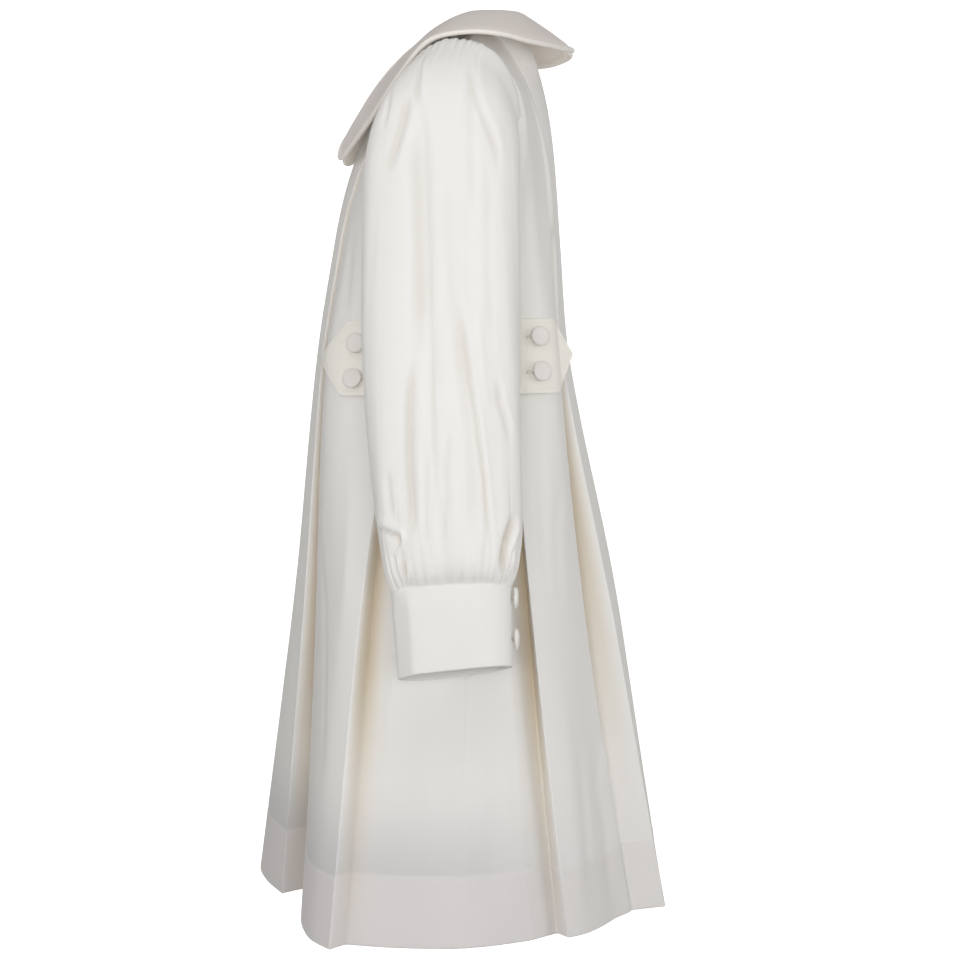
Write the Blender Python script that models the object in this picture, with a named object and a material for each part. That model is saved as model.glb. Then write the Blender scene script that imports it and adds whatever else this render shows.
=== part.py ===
# Long-sleeved A-line dress in its worn shape, hollow, with nobody in it.
# Metres, +Z up. The wearer faces -Y and the wearer's left is +X.
# The origin is the neck's centre, level with the side neck points. Tables are in millimetres.

from collections import namedtuple
from math import cos, pi, radians, sin

import bpy
from mathutils import Vector

MM = 0.001

# heights of the levels that the body's table gives
HEM_Z = -890 * MM
MID_Z = -600 * MM
BAND_Z = -345 * MM
CHEST_Z = -225 * MM

# cloth thicknesses and the space between sewn pieces
BODY_WALL = 2.0 * MM
HEM_WALL = 3.0 * MM
HEM_DEPTH = 64 * MM
SLEEVE_WALL = 1.6 * MM
CUFF_WALL = 3.0 * MM
BAND_WALL = 2.6 * MM
COLLAR_WALL = 2.2 * MM
COLLAR_EDGE_WALL = 4.6 * MM
SEAM_GAP = 0.4 * MM
BAND_LIFT = 1.2 * MM

# neckline seam: half width, reach to front and back, height at side, front and back
NECK_HALF = 74 * MM
NECK_FRONT = 62 * MM
NECK_BACK = 46 * MM
NECK_SIDE_Z = -6 * MM
NECK_FRONT_DROP = 30 * MM
NECK_BACK_RISE = 2 * MM

# how the chest curves over to the upper edge, as parts of the height above the chest level
CHEST_STEP = 20 * MM
CHEST_REACH = 0.40
NECK_REACH_FRONT = 0.30
NECK_REACH_BACK = 0.12
SHOULDER_REACH = 0.42
NECK_DROP = 0.34
SHOULDER_DROP = 0.08
ARM_DROP = 0.25

# side band: its heights, how wide its columns are toward each point, where the back point stands free,
# and how much higher it runs at that end
BAND_TOP_Z = -307 * MM
BAND_LOW_Z = -381 * MM
BAND_FRONT_PARTS = [0.05, 0.22, 0.48, 0.78]
BAND_BACK_PARTS = [0.05, 0.52]
BAND_BACK_TIP = (118 * MM, 92 * MM)
BAND_BACK_RISE = 4.6 * MM

# covered buttons
BUTTON_R = 10 * MM
BUTTON_H = 4.7 * MM
SHANK_R = 2.6 * MM
SHANK_H = 1.6 * MM
BUTTON_SIDES = 10
BUTTON_PROFILE = [(0.26, 0.0), (0.88, 0.0), (1.0, 0.28), (0.93, 0.58), (0.62, 0.84), (0.0, 1.0)]

# cuff: length along its axis, overlap angles at the back, and how far it stands out from the sleeve's end
CUFF_LENGTH = 77 * MM
CUFF_OVERLAP_FROM = 72
CUFF_OVERLAP_TO = 108
CUFF_EASE_TO = 128
CUFF_COLUMNS = 32
CUFF_PROUD = 0.6 * MM

# sleeve: columns round it, gathers at head and cuff, how far round the head they fade, and how softly folds end
SLEEVE_COLUMNS = 36
HEAD_GATHERS = 14
CUFF_GATHERS = 11
HEAD_GATHER_FADE = 0.62
FOLD_SOFTNESS = 1.6

# One row for each fold or panel point of half the body, from centre to side seam. x and y at four levels.
# top runs 0 to 1 along the neckline, 1 to 2 along the shoulder, 2 to 3 down the armhole.
Fold = namedtuple("Fold", "name chest_x chest_y band_x band_y mid_x mid_y hem_x hem_y top")

FRONT_FOLDS = [
    [
        Fold("centre_front", 0, -152, 0, -171, 0, -197.5, 0, -236, 0.00),
        Fold("centre_panel", 38, -150, 48, -169, 54, -193, 62, -224, 0.50),
        Fold("first_pleat_edge", 70, -143, 90, -161, 103, -180.5, 117, -203, 0.94),
    ],
    [Fold("first_pleat_valley", 71, -137.5, 87, -152, 96, -164, 101, -183, 1.02)],
    [
        Fold("side_front_inner", 77, -139, 96, -156.5, 112, -167, 130, -180, 1.10),
        Fold("side_front_turn", 100, -131, 120, -151, 152, -160, 185, -178, 1.45),
        Fold("side_front_middle", 122, -115, 139, -134, 188, -149, 238, -173, 1.95),
        Fold("side_front_outer", 136, -96, 149, -110, 216, -136, 284, -161, 2.22),
        Fold("second_pleat_edge", 147, -76, 157, -84, 236, -117, 318, -141, 2.42),
    ],
    [Fold("second_pleat_valley", 148, -71, 156, -78, 226, -103, 300, -126, 2.48)],
    [
        Fold("side_panel_front", 155, -56, 160, -62, 238, -82, 309, -95, 2.62),
        Fold("side_panel_middle", 161, -36, 166, -38, 244, -48, 314, -58, 2.82),
        Fold("side_seam", 163, -18, 168, -16, 246, -14, 315, -19, 3.00),
    ],
]

BACK_FOLDS = [
    [
        Fold("centre_back", 0, 83, 0, 94, 0, 146, 0, 186, 0.00),
        Fold("centre_back_panel", 42, 82, 50, 91, 64, 142, 84, 187, 0.50),
        Fold("back_pleat_edge", 84, 76, 98, 84, 128, 134, 165, 186, 0.95),
    ],
    [Fold("back_pleat_valley", 92, 73, 106, 73, 131, 103, 179, 152, 1.05)],
    [
        Fold("side_back_edge", 101, 71, 124, 79, 150, 106, 188, 149, 1.15),
        Fold("side_back_inner", 120, 63, 143, 73, 174, 96, 210, 134, 1.50),
        Fold("side_back_middle", 136, 54, 154, 62, 200, 83, 238, 120, 1.95),
        Fold("side_back_outer", 146, 44, 160, 46, 224, 66, 264, 102, 2.30),
        Fold("third_pleat_edge", 153, 34, 163, 30, 238, 51, 278, 84, 2.52),
    ],
    [Fold("third_pleat_valley", 154.5, 29, 161, 24, 226, 44, 262, 74, 2.58)],
    [
        Fold("side_panel_back", 158.5, 16, 165, 12, 236, 26, 286, 50, 2.72),
        Fold("side_panel_rear", 162, 0, 167, -2, 244, 4, 304, 15, 2.88),
        Fold("side_seam", 163, -18, 168, -16, 246, -14, 315, -19, 3.00),
    ],
]

# One row for each ring of the left sleeve, from armhole to cuff: the inner and the outer point of the ring,
# its front and back reach, how much lower its front is, and the gathers' height there.
Ring = namedtuple("Ring", "inner_x inner_z outer_x outer_z front_y back_y dip gather")

SLEEVE_RINGS = [
    Ring(164.5, -208.5, 153.5, -38.5, -68, 36, 0, 0.0),
    Ring(166.5, -210.5, 193, -45, -91, 36, 0, 2.2),
    Ring(168, -213, 228, -79, -105, 38, 0, 2.0),
    Ring(170, -219, 248, -127, -111, 38, 0, 1.2),
    Ring(172.5, -238, 257, -180, -112, 38, 0, 0.6),
    Ring(176, -275, 266, -239, -112.5, 38, 0, 0.2),
    Ring(187, -318, 278, -292, -112.5, 38, 0, 0.2),
    Ring(200, -366, 290, -343, -110.5, 38.5, 0, 0.5),
    Ring(212, -415, 301, -392, -107, 39, 0, 1.0),
    Ring(224, -466, 311, -442, -102, 39.5, 1, 1.8),
    Ring(237, -514, 321, -490, -96, 40, 2, 2.6),
    Ring(247, -541, 325, -517, -91, 37, 4, 3.0),
    Ring(258, -556, 323, -536, -86, 32.5, 5, 2.4),
    Ring(266, -563.5, 317.5, -548, -82.3, 28.8, 6, 0.4),
]
ARMHOLE_NOTCH = 4 * MM
HEAD_RINGS = 6

# One row for each long soft fold of the sleeve: first and last ring, angle at each, depth and half width.
# Angle 0 faces away from the body and 90 faces the back. A negative depth is a trough.
SleeveFold = namedtuple("SleeveFold", "first last first_angle last_angle depth half_angle")

SLEEVE_FOLDS = [
    SleeveFold(1, 6, -14, -5, -4.0, 12),
    SleeveFold(1, 5, 16, 50, -3.5, 12),
    SleeveFold(1, 4, -30, -40, -3.0, 9),
    SleeveFold(7, 12, -24, -22, -3.0, 8),
    SleeveFold(6, 12, -12, -6, -4.5, 9),
    SleeveFold(5, 12, 8, 32, -4.5, 11),
    SleeveFold(2, 11, 140, 150, -4.0, 16),
    SleeveFold(6, 12, 200, 190, -4.0, 12),
    SleeveFold(7, 12, 235, 242, -3.0, 10),
]

# End of the cuff: its centre and half sizes, and how much lower its front is.
CUFF_END_Y = -22.8 * MM
CUFF_END_HALF_DEPTH = 53.4 * MM
CUFF_END_HALF_WIDTH = 26.4 * MM
CUFF_END_DIP = 12 * MM

# collar: how it starts inside the neckline seam, and the steps from its roll to its edge
COLLAR_SEAM_IN = 1.0 * MM
COLLAR_SEAM_UP = 1.2 * MM
COLLAR_STAND_LEAN = 2.0 * MM
COLLAR_STAND_PART = 0.55
COLLAR_STEPS = [0.12, 0.3, 0.5, 0.68, 0.84, 0.95, 1.0]

# One row for each rib of the left collar half, from the front edge round to the back edge.
# neck runs 0 to 1 from the front to the side and 1 to 2 on to the back. crown lifts the fall's middle.
Rib = namedtuple("Rib", "name neck roll_x roll_y roll_z edge_x edge_y edge_z crown")

COLLAR_RIBS = [
    Rib("front_edge", 0.05, 5, -63, -18, 23, -135, -110, 26),
    Rib("front_corner_upper", 0.08, 7, -63, -17, 30, -145, -127, 26),
    Rib("front_corner_lower", 0.14, 12, -62, -15, 46, -146, -140, 26),
    Rib("front_fall", 0.27, 24, -57, -12, 72, -136, -134, 24),
    Rib("chest", 0.46, 40, -46, -5, 116, -109, -101, 19),
    Rib("shoulder_front", 0.70, 56, -28, 3, 149, -79, -62, 11),
    Rib("shoulder_turn", 0.88, 64, -10, 8, 161, -51, -34, 8),
    Rib("shoulder", 1.00, 67, 4, 9, 165, -15, -23.5, 6),
    Rib("shoulder_back", 1.20, 63, 22, 9.5, 160, 20, -25, 5),
    Rib("back_turn", 1.45, 50, 36, 10, 137, 49, -30, 4),
    Rib("back_fall", 1.70, 30, 43, 10.5, 98, 77, -31, 3),
    Rib("back_corner_outer", 1.86, 16, 46, 10.5, 56, 94, -29, 1),
    Rib("back_corner_inner", 1.93, 8, 47, 10, 24, 99, -27.5, 0),
    Rib("back_edge", 1.97, 4, 47, 10, 9, 95, -24, 0),
]

# Tab buttons at each end of the band: y of the upper and the lower one, height of their middle, and spacing.
TAB_BUTTON_ENDS = {
    "front": (-122.5 * MM, -125.5 * MM, -345.2 * MM),
    "back": (58 * MM, 60 * MM, -338 * MM),
}
TAB_BUTTON_SPACING = 34.8 * MM
CUFF_BUTTON_STEPS = [0.13, 0.66]

LOWER_ROWS = [
    HEM_Z, HEM_Z + HEM_DEPTH, -715 * MM, MID_Z, -500 * MM, -430 * MM, BAND_LOW_Z, BAND_Z, BAND_TOP_Z, CHEST_Z,
]
UPPER_STEPS = [0.22, 0.46, 0.70, 0.88, 1.0]

CLOTH_COLOUR = (0.86, 0.84, 0.79, 1.0)
SLEEVE_COLOUR = (0.90, 0.89, 0.86, 1.0)
BUTTON_COLOUR = (0.83, 0.81, 0.76, 1.0)


def catmull(a, b, c, d, t):
    return 0.5 * ((2 * b) + (c - a) * t + (2 * a - 5 * b + 4 * c - d) * t * t + (3 * b - a - 3 * c + d) * t ** 3)


def between(values, position):
    # a smooth value at a fractional place in a list of numbers or vectors
    last = len(values) - 1
    index = min(int(position), last - 1)
    before = values[max(index - 1, 0)]
    after = values[min(index + 2, last)]
    return catmull(before, values[index], values[index + 1], after, position - index)


def resample(rows, steps):
    # rows of one table with more rows between them, every number column smoothed alike
    if len(rows) == 1:
        return list(rows)
    columns = [field for field in rows[0]._fields if field != "name"]
    result = []
    for step in range((len(rows) - 1) * steps + 1):
        position = step / steps
        values = {field: between([getattr(row, field) for row in rows], position) for field in columns}
        name = rows[min(int(position), len(rows) - 1)].name
        result.append(rows[0].__class__(name=name, **values))
    return result


def neck_point(position, side):
    # 0 at the centre, 1 at the side neck; side is -1 at the front and 1 at the back
    angle = position * pi / 2
    reach = NECK_FRONT if side < 0 else NECK_BACK
    rise = -NECK_FRONT_DROP if side < 0 else NECK_BACK_RISE
    return Vector((NECK_HALF * sin(angle), side * reach * cos(angle), NECK_SIDE_Z + rise * cos(angle)))


def ring_point(ring, degrees, spread=0.0):
    # a point of an oval ring; spread moves it outward in the ring's plane
    angle = radians(degrees)
    centre = Vector((ring.inner_x + ring.outer_x, ring.front_y + ring.back_y, ring.inner_z + ring.outer_z)) / 2
    across = Vector((ring.outer_x - ring.inner_x, 0, ring.outer_z - ring.inner_z)) / 2
    along = Vector((0, (ring.back_y - ring.front_y) / 2, ring.dip / 2))
    outward = across.normalized() * cos(angle) + along.normalized() * sin(angle)
    return (centre + across * cos(angle) + along * sin(angle) + outward * spread) * MM


def armhole_point(degrees):
    point = ring_point(SLEEVE_RINGS[0], degrees)
    point.x -= ARMHOLE_NOTCH * sin(radians(degrees)) ** 2
    return point


def top_point(top, side):
    # the piece's upper edge: neckline, then shoulder seam, then armhole
    shoulder = armhole_point(0)
    if top <= 1:
        point = neck_point(top, side)
    elif top <= 2:
        point = neck_point(1, side).lerp(shoulder, top - 1)
    else:
        point = armhole_point(side * (top - 2) * 180)
    if top > 1:
        point.x -= 2 * SEAM_GAP
    fade = max(0.0, 1 - abs(top - 1.5) / 0.75)
    point.y += side * SEAM_GAP * (1 if 1 <= top <= 2 else fade)
    return point


def level_point(fold, z):
    # the fold's place at one height below the chest, smoothed through the four levels
    levels = [HEM_Z, MID_Z, BAND_Z, CHEST_Z]
    xs = [fold.hem_x, fold.mid_x, fold.band_x, fold.chest_x]
    ys = [fold.hem_y, fold.mid_y, fold.band_y, fold.chest_y]
    index = 0
    while index < 2 and z > levels[index + 1]:
        index += 1
    span = levels[index + 1] - levels[index]
    t = (z - levels[index]) / span

    def slope(values, k):
        low = max(k - 1, 0)
        high = min(k + 1, 3)
        return (values[high] - values[low]) / (levels[high] - levels[low])

    def smooth(values):
        start = values[index]
        end = values[index + 1]
        m0 = slope(values, index) * span
        m1 = slope(values, index + 1) * span
        curve = (2 * t ** 3 - 3 * t * t + 1) * start + (t ** 3 - 2 * t * t + t) * m0
        return curve + (3 * t * t - 2 * t ** 3) * end + (t ** 3 - t * t) * m1

    return Vector((smooth(xs) * MM, smooth(ys) * MM, z))


def upper_point(fold, step, side):
    # from the chest level up to the piece's edge on a Bezier curve
    start = level_point(fold, CHEST_Z)
    below = level_point(fold, CHEST_Z - CHEST_STEP)
    end = top_point(fold.top, side)
    rise = end.z - start.z
    first = start + (start - below).normalized() * rise * CHEST_REACH
    neck_part = max(1 - fold.top / 2, 0)
    arm_part = max(fold.top - 2, 0)
    neck_reach = NECK_REACH_FRONT if side < 0 else NECK_REACH_BACK
    forward = (SHOULDER_REACH + (neck_reach - SHOULDER_REACH) * neck_part) * (1 - arm_part) ** 2
    drop = SHOULDER_DROP + (NECK_DROP - SHOULDER_DROP) * neck_part + ARM_DROP * arm_part
    second = end + Vector((0, side * forward * rise, -drop * rise))
    a = (1 - step) ** 3
    b = 3 * (1 - step) ** 2 * step
    c = 3 * (1 - step) * step ** 2
    return start * a + first * b + second * c + end * step ** 3


def body_column(fold, side):
    column = [level_point(fold, z) for z in LOWER_ROWS]
    column += [upper_point(fold, step, side) for step in UPPER_STEPS]
    if fold.top >= 3:
        for point in column:
            point.y += side * SEAM_GAP
        column[-1].z -= SEAM_GAP
    return column


def half_body(tables, side):
    # the columns of half a panel, and the numbers of those that end on the shoulder or run down the side seam
    columns = []
    shoulder = []
    for panel in tables:
        for fold in resample(panel, 1 if panel[-1].name == "side_seam" else 2):
            if 1 <= fold.top <= 2:
                shoulder.append(len(columns))
            columns.append(body_column(fold, side))
    return columns, shoulder


def sewn_places(count, shoulder, rows):
    # grid places on the shoulder and side seams of a panel whose centre column is count - 1
    places = {(rows - 1, count - 1 + k) for k in shoulder}
    places |= {(rows - 1, count - 1 - k) for k in shoulder}
    places |= {(r, c) for r in range(rows) for c in (0, 2 * count - 2)}
    return places


def mirrored(point):
    return Vector((-point.x, point.y, point.z))


def grid_from_columns(columns):
    return [[column[row] for column in columns] for row in range(len(columns[0]))]


def grid_normals(grid, closed):
    rows = len(grid)
    cols = len(grid[0])
    faces = {}
    for r in range(rows - 1):
        for c in range(cols if closed else cols - 1):
            d = (c + 1) % cols
            normal = (grid[r + 1][d] - grid[r][c]).cross(grid[r + 1][c] - grid[r][d])
            faces[r, c] = normal.normalized()
    normals = []
    for r in range(rows):
        line = []
        for c in range(cols):
            left = (c - 1) % cols if closed else c - 1
            near = [faces[key] for key in ((r, c), (r - 1, c), (r, left), (r - 1, left)) if key in faces]
            mean = sum(near, Vector()).normalized()
            tightest = max(0.6, min(mean.dot(item) for item in near))
            line.append(mean / tightest)
        normals.append(line)
    return normals


def wall_object(name, grid, thickness, colour, closed=False, seams=()):
    # a closed wall from a grid of outer points, thickened inward; thickness is a number for each row
    # the inner points of the (row, column) places in seams keep their y, so that sewn edges face each other
    rows = len(grid)
    cols = len(grid[0])
    normals = grid_normals(grid, closed)
    outer = [point for line in grid for point in line]
    inner = []
    for r in range(rows):
        for c in range(cols):
            point = grid[r][c] - normals[r][c] * thickness[r]
            if (r, c) in seams:
                point.y = grid[r][c].y
            inner.append(point)
    count = rows * cols
    faces = []
    last = cols if closed else cols - 1
    for r in range(rows - 1):
        for c in range(last):
            a = r * cols + c
            b = r * cols + (c + 1) % cols
            faces.append((a, b, b + cols, a + cols))
            faces.append((a + count, a + cols + count, b + cols + count, b + count))
    for c in range(last):
        a = c
        b = (c + 1) % cols
        faces.append((b, a, a + count, b + count))
        a += (rows - 1) * cols
        b += (rows - 1) * cols
        faces.append((a, b, b + count, a + count))
    if not closed:
        for r in range(rows - 1):
            a = r * cols
            faces.append((a, a + cols, a + cols + count, a + count))
            a += cols - 1
            faces.append((a + cols, a, a + count, a + cols + count))
    return mesh_object(name, outer + inner, faces, colour)


def mesh_object(name, points, faces, colour):
    mesh = bpy.data.meshes.new(name)
    mesh.from_pydata([tuple(point) for point in points], [], faces)
    mesh.validate()
    mesh.shade_smooth()
    mesh.set_sharp_from_angle(angle=radians(35))
    material = bpy.data.materials.get(colour[0])
    if material is None:
        material = bpy.data.materials.new(colour[0])
        material.use_nodes = True
        shader = material.node_tree.nodes["Principled BSDF"]
        shader.inputs["Base Color"].default_value = colour[1]
        shader.inputs["Roughness"].default_value = 0.85
        shader.inputs["Metallic"].default_value = 0.0
    mesh.materials.append(material)
    piece = bpy.data.objects.new(name, mesh)
    bpy.context.scene.collection.objects.link(piece)
    return piece


def build_body():
    # front and back are one panel each, pleated, joined at the shoulders and the sides
    row_walls = []
    for z in LOWER_ROWS:
        row_walls.append(HEM_WALL if z <= HEM_Z + HEM_DEPTH else BODY_WALL)
    row_walls += [BODY_WALL] * len(UPPER_STEPS)
    for name, tables, side in (("front", FRONT_FOLDS, -1), ("back", BACK_FOLDS, 1)):
        near, shoulder = half_body(tables, side)
        far = [[mirrored(p) for p in column] for column in reversed(near[1:])]
        columns = far + near
        if side > 0:
            columns.reverse()
        seams = sewn_places(len(near), shoulder, len(row_walls))
        cloth = (name + "_cloth", CLOTH_COLOUR)
        wall_object(name, grid_from_columns(columns), row_walls, cloth, seams=seams)


def sleeve_spread(row, degrees):
    # how far gathers and long folds push the sleeve's ring out at one angle, in millimetres
    ring = SLEEVE_RINGS[row]
    count = HEAD_GATHERS if row < HEAD_RINGS else CUFF_GATHERS
    turned = (degrees + 180) % 360 - 180
    cover = max(0.0, cos(radians(turned) * HEAD_GATHER_FADE)) if row < HEAD_RINGS else 1.0
    spread = ring.gather * cos(radians(turned * count)) * cover
    for fold in SLEEVE_FOLDS:
        if fold.first <= row <= fold.last:
            t = (row - fold.first) / (fold.last - fold.first)
            angle = fold.first_angle + (fold.last_angle - fold.first_angle) * t
            away = (degrees - angle + 180) % 360 - 180
            strength = sin(pi * (t * 0.8 + 0.1))
            spread += fold.depth * strength * max(0.0, 1 - (away / fold.half_angle / FOLD_SOFTNESS) ** 2)
    return spread


def sleeve_grid():
    # columns run clockwise seen from above, rows from the armhole down
    grid = []
    for row, ring in enumerate(SLEEVE_RINGS):
        line = []
        for k in range(SLEEVE_COLUMNS):
            degrees = -360 * k / SLEEVE_COLUMNS
            if row == 0:
                line.append(armhole_point(degrees))
            else:
                line.append(ring_point(ring, degrees, sleeve_spread(row, degrees)))
        grid.append(line)
    return grid


def cuff_end_ring():
    # the cuff's lower ring follows from the sleeve's last ring, moved along its axis
    top = SLEEVE_RINGS[-1]
    across = Vector((top.outer_x - top.inner_x, 0, top.outer_z - top.inner_z)).normalized()
    axis = Vector((across.z, 0, -across.x))
    centre = Vector((top.inner_x + top.outer_x, 0, top.inner_z + top.outer_z)) / 2
    centre += axis * CUFF_LENGTH / MM
    inner = centre - across * CUFF_END_HALF_WIDTH / MM
    outer = centre + across * CUFF_END_HALF_WIDTH / MM
    front = (CUFF_END_Y - CUFF_END_HALF_DEPTH) / MM
    back = (CUFF_END_Y + CUFF_END_HALF_DEPTH) / MM
    return Ring(inner.x, inner.z, outer.x, outer.z, front, back, CUFF_END_DIP / MM, 0.0)


def cuff_point(step, degrees, inset):
    # step runs 0 to 1 down the cuff
    first = ring_point(SLEEVE_RINGS[-1], degrees, (CUFF_PROUD - inset) / MM)
    last = ring_point(cuff_end_ring(), degrees, -inset / MM)
    first += (last - first).normalized() * SEAM_GAP
    return first.lerp(last, step)


def cuff_grid():
    # a strip that laps over its own start at the back
    angles = []
    for k in range(CUFF_COLUMNS + 1):
        angles.append(CUFF_OVERLAP_FROM + k * (360 + CUFF_OVERLAP_TO - CUFF_OVERLAP_FROM) / CUFF_COLUMNS)
    under = CUFF_WALL + SEAM_GAP
    grid = []
    for step in (0.0, 0.5, 1.0):
        line = []
        for degrees in angles:
            ease = min(max((degrees - CUFF_OVERLAP_TO) / (CUFF_EASE_TO - CUFF_OVERLAP_TO), 0), 1)
            line.append(cuff_point(step, degrees, under * (1 - ease)))
        grid.append(line)
    return list(reversed(grid))


def mirror_grid(grid):
    return [[mirrored(point) for point in reversed(line)] for line in grid]


def build_sleeves():
    grid = sleeve_grid()
    walls = [SLEEVE_WALL] * len(grid)
    wall_object("sleeve_left", grid, walls, ("sleeve_cloth", SLEEVE_COLOUR), closed=True)
    wall_object("sleeve_right", mirror_grid(grid), walls, ("sleeve_cloth", SLEEVE_COLOUR), closed=True)
    cuff = cuff_grid()
    walls = [CUFF_WALL] * len(cuff)
    wall_object("cuff_left", cuff, walls, ("cuff_cloth", CLOTH_COLOUR))
    wall_object("cuff_right", mirror_grid(cuff), walls, ("cuff_cloth", CLOTH_COLOUR))


def collar_profile(rib):
    # from the neckline seam up to the roll and out to the edge
    side = -1 if rib.neck <= 1 else 1
    place = rib.neck if rib.neck <= 1 else 2 - rib.neck
    seam = neck_point(place, side)
    inward = Vector((-seam.x, -seam.y, 0)).normalized()
    seam += inward * COLLAR_SEAM_IN + Vector((0, 0, COLLAR_SEAM_UP))
    roll = Vector((rib.roll_x, rib.roll_y, rib.roll_z)) * MM
    edge = Vector((rib.edge_x, rib.edge_y, rib.edge_z)) * MM
    lean = seam.lerp(roll, COLLAR_STAND_PART) + inward * COLLAR_STAND_LEAN
    points = [seam, lean, roll.lerp(lean, COLLAR_STEPS[0])]
    middle = roll.lerp(edge, 0.5) + Vector((0, 0, rib.crown * MM))
    for step in COLLAR_STEPS:
        a = (1 - step) ** 2
        b = 2 * (1 - step) * step
        points.append(roll * a + middle * b + edge * step ** 2)
    return points


def build_collar():
    profiles = [collar_profile(rib) for rib in resample(COLLAR_RIBS, 2)]
    rows = len(profiles[0])
    grid = grid_from_columns(profiles)
    walls = []
    for row in range(rows):
        walls.append(COLLAR_WALL + (COLLAR_EDGE_WALL - COLLAR_WALL) * max(0.0, (row - 3) / (rows - 4)))
    grid = [list(reversed(line)) for line in grid]
    wall_object("collar_left", grid, walls, ("collar_cloth", CLOTH_COLOUR))
    wall_object("collar_right", mirror_grid(grid), walls, ("collar_cloth", CLOTH_COLOUR))


def band_folds():
    # the panel points that the left band lies on, from its front point to its back one
    front = resample(FRONT_FOLDS[2], 2) + FRONT_FOLDS[4][1:]
    back = resample(BACK_FOLDS[2], 2) + BACK_FOLDS[4][1:-1]
    return front + list(reversed(back))


def band_grid():
    # rows go up; both ends narrow to a point
    folds = band_folds()
    heights = [BAND_LOW_Z, (BAND_LOW_Z + BAND_Z) / 2, BAND_Z, (BAND_TOP_Z + BAND_Z) / 2, BAND_TOP_Z]
    middle = (BAND_LOW_Z + BAND_TOP_Z) / 2
    plain = len(folds) - len(BAND_FRONT_PARTS) - len(BAND_BACK_PARTS)
    parts = BAND_FRONT_PARTS + [1.0] * plain + list(reversed(BAND_BACK_PARTS))
    grid = []
    for z in heights:
        line = []
        for fold, part in zip(folds, parts):
            rise = BAND_BACK_RISE * len(line) / (len(folds) - 1)
            line.append(level_point(fold, middle + rise + (z - middle) * part))
        line[-1].x, line[-1].y = BAND_BACK_TIP
        line[-2].x = (line[-3].x + line[-1].x) / 2
        line[-2].y = (line[-3].y + line[-1].y) / 2
        grid.append(line)
    normals = grid_normals(grid, False)
    lift = BAND_LIFT + BAND_WALL
    return [[p + n * lift for p, n in zip(line, near)] for line, near in zip(grid, normals)]


def button_object(name, seat, normal):
    # a covered button: domed top, round edge and a shank that ends just off its seat
    profile = [(0.0, SEAM_GAP), (SHANK_R, SEAM_GAP)]
    profile += [(BUTTON_R * wide, SHANK_H + BUTTON_H * high) for wide, high in BUTTON_PROFILE]
    turn = normal.to_track_quat("Z", "Y")
    points = []
    rings = []
    for radius, height in profile:
        if radius == 0:
            rings.append([len(points)])
            points.append(seat + turn @ Vector((0, 0, height)))
            continue
        ring = []
        for k in range(BUTTON_SIDES):
            angle = 2 * pi * k / BUTTON_SIDES
            ring.append(len(points))
            points.append(seat + turn @ Vector((radius * cos(angle), radius * sin(angle), height)))
        rings.append(ring)
    faces = []
    for low, high in zip(rings, rings[1:]):
        for k in range(BUTTON_SIDES):
            n = (k + 1) % BUTTON_SIDES
            if len(low) == 1:
                faces.append((low[0], high[n], high[k]))
            elif len(high) == 1:
                faces.append((low[k], low[n], high[0]))
            else:
                faces.append((low[k], low[n], high[n], high[k]))
    return mesh_object(name, points, faces, ("button_cloth", BUTTON_COLOUR))


def surface_at(grid, y, z):
    # the place and outward normal of the band's surface nearest to a given y and z
    best = None
    for r in range(len(grid) - 1):
        for c in range(len(grid[0]) - 1):
            corners = (grid[r][c], grid[r][c + 1], grid[r + 1][c + 1], grid[r + 1][c])
            centre = sum(corners, Vector()) / 4
            far = abs(centre.y - y) + abs(centre.z - z)
            if best is None or far < best[0]:
                normal = (corners[2] - corners[0]).cross(corners[3] - corners[1]).normalized()
                best = (far, centre, normal)
    centre, normal = best[1:]
    x = centre.x - (normal.y * (y - centre.y) + normal.z * (z - centre.z)) / normal.x
    return Vector((x, y, z)), normal


def build_bands():
    grid = band_grid()
    walls = [BAND_WALL] * len(grid)
    wall_object("band_left", grid, walls, ("band_cloth", CLOTH_COLOUR))
    wall_object("band_right", mirror_grid(grid), walls, ("band_cloth", CLOTH_COLOUR))
    for end, (upper_y, lower_y, middle) in TAB_BUTTON_ENDS.items():
        places = [(upper_y, middle + TAB_BUTTON_SPACING / 2), (lower_y, middle - TAB_BUTTON_SPACING / 2)]
        for number, (y, z) in enumerate(places, 1):
            seat, normal = surface_at(grid, y, z)
            button_object(f"button_{end}_left_{number}", seat, normal)
            button_object(f"button_{end}_right_{number}", mirrored(seat), mirrored(normal))


def build_cuff_buttons():
    for number, step in enumerate(CUFF_BUTTON_STEPS, 1):
        seat = cuff_point(step, 90, 0)
        normal = Vector((0, 1, 0))
        button_object(f"button_cuff_left_{number}", seat, normal)
        button_object(f"button_cuff_right_{number}", mirrored(seat), normal)


for item in list(bpy.data.objects):
    bpy.data.objects.remove(item, do_unlink=True)

build_body()
build_sleeves()
build_collar()
build_bands()
build_cuff_buttons()
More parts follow.
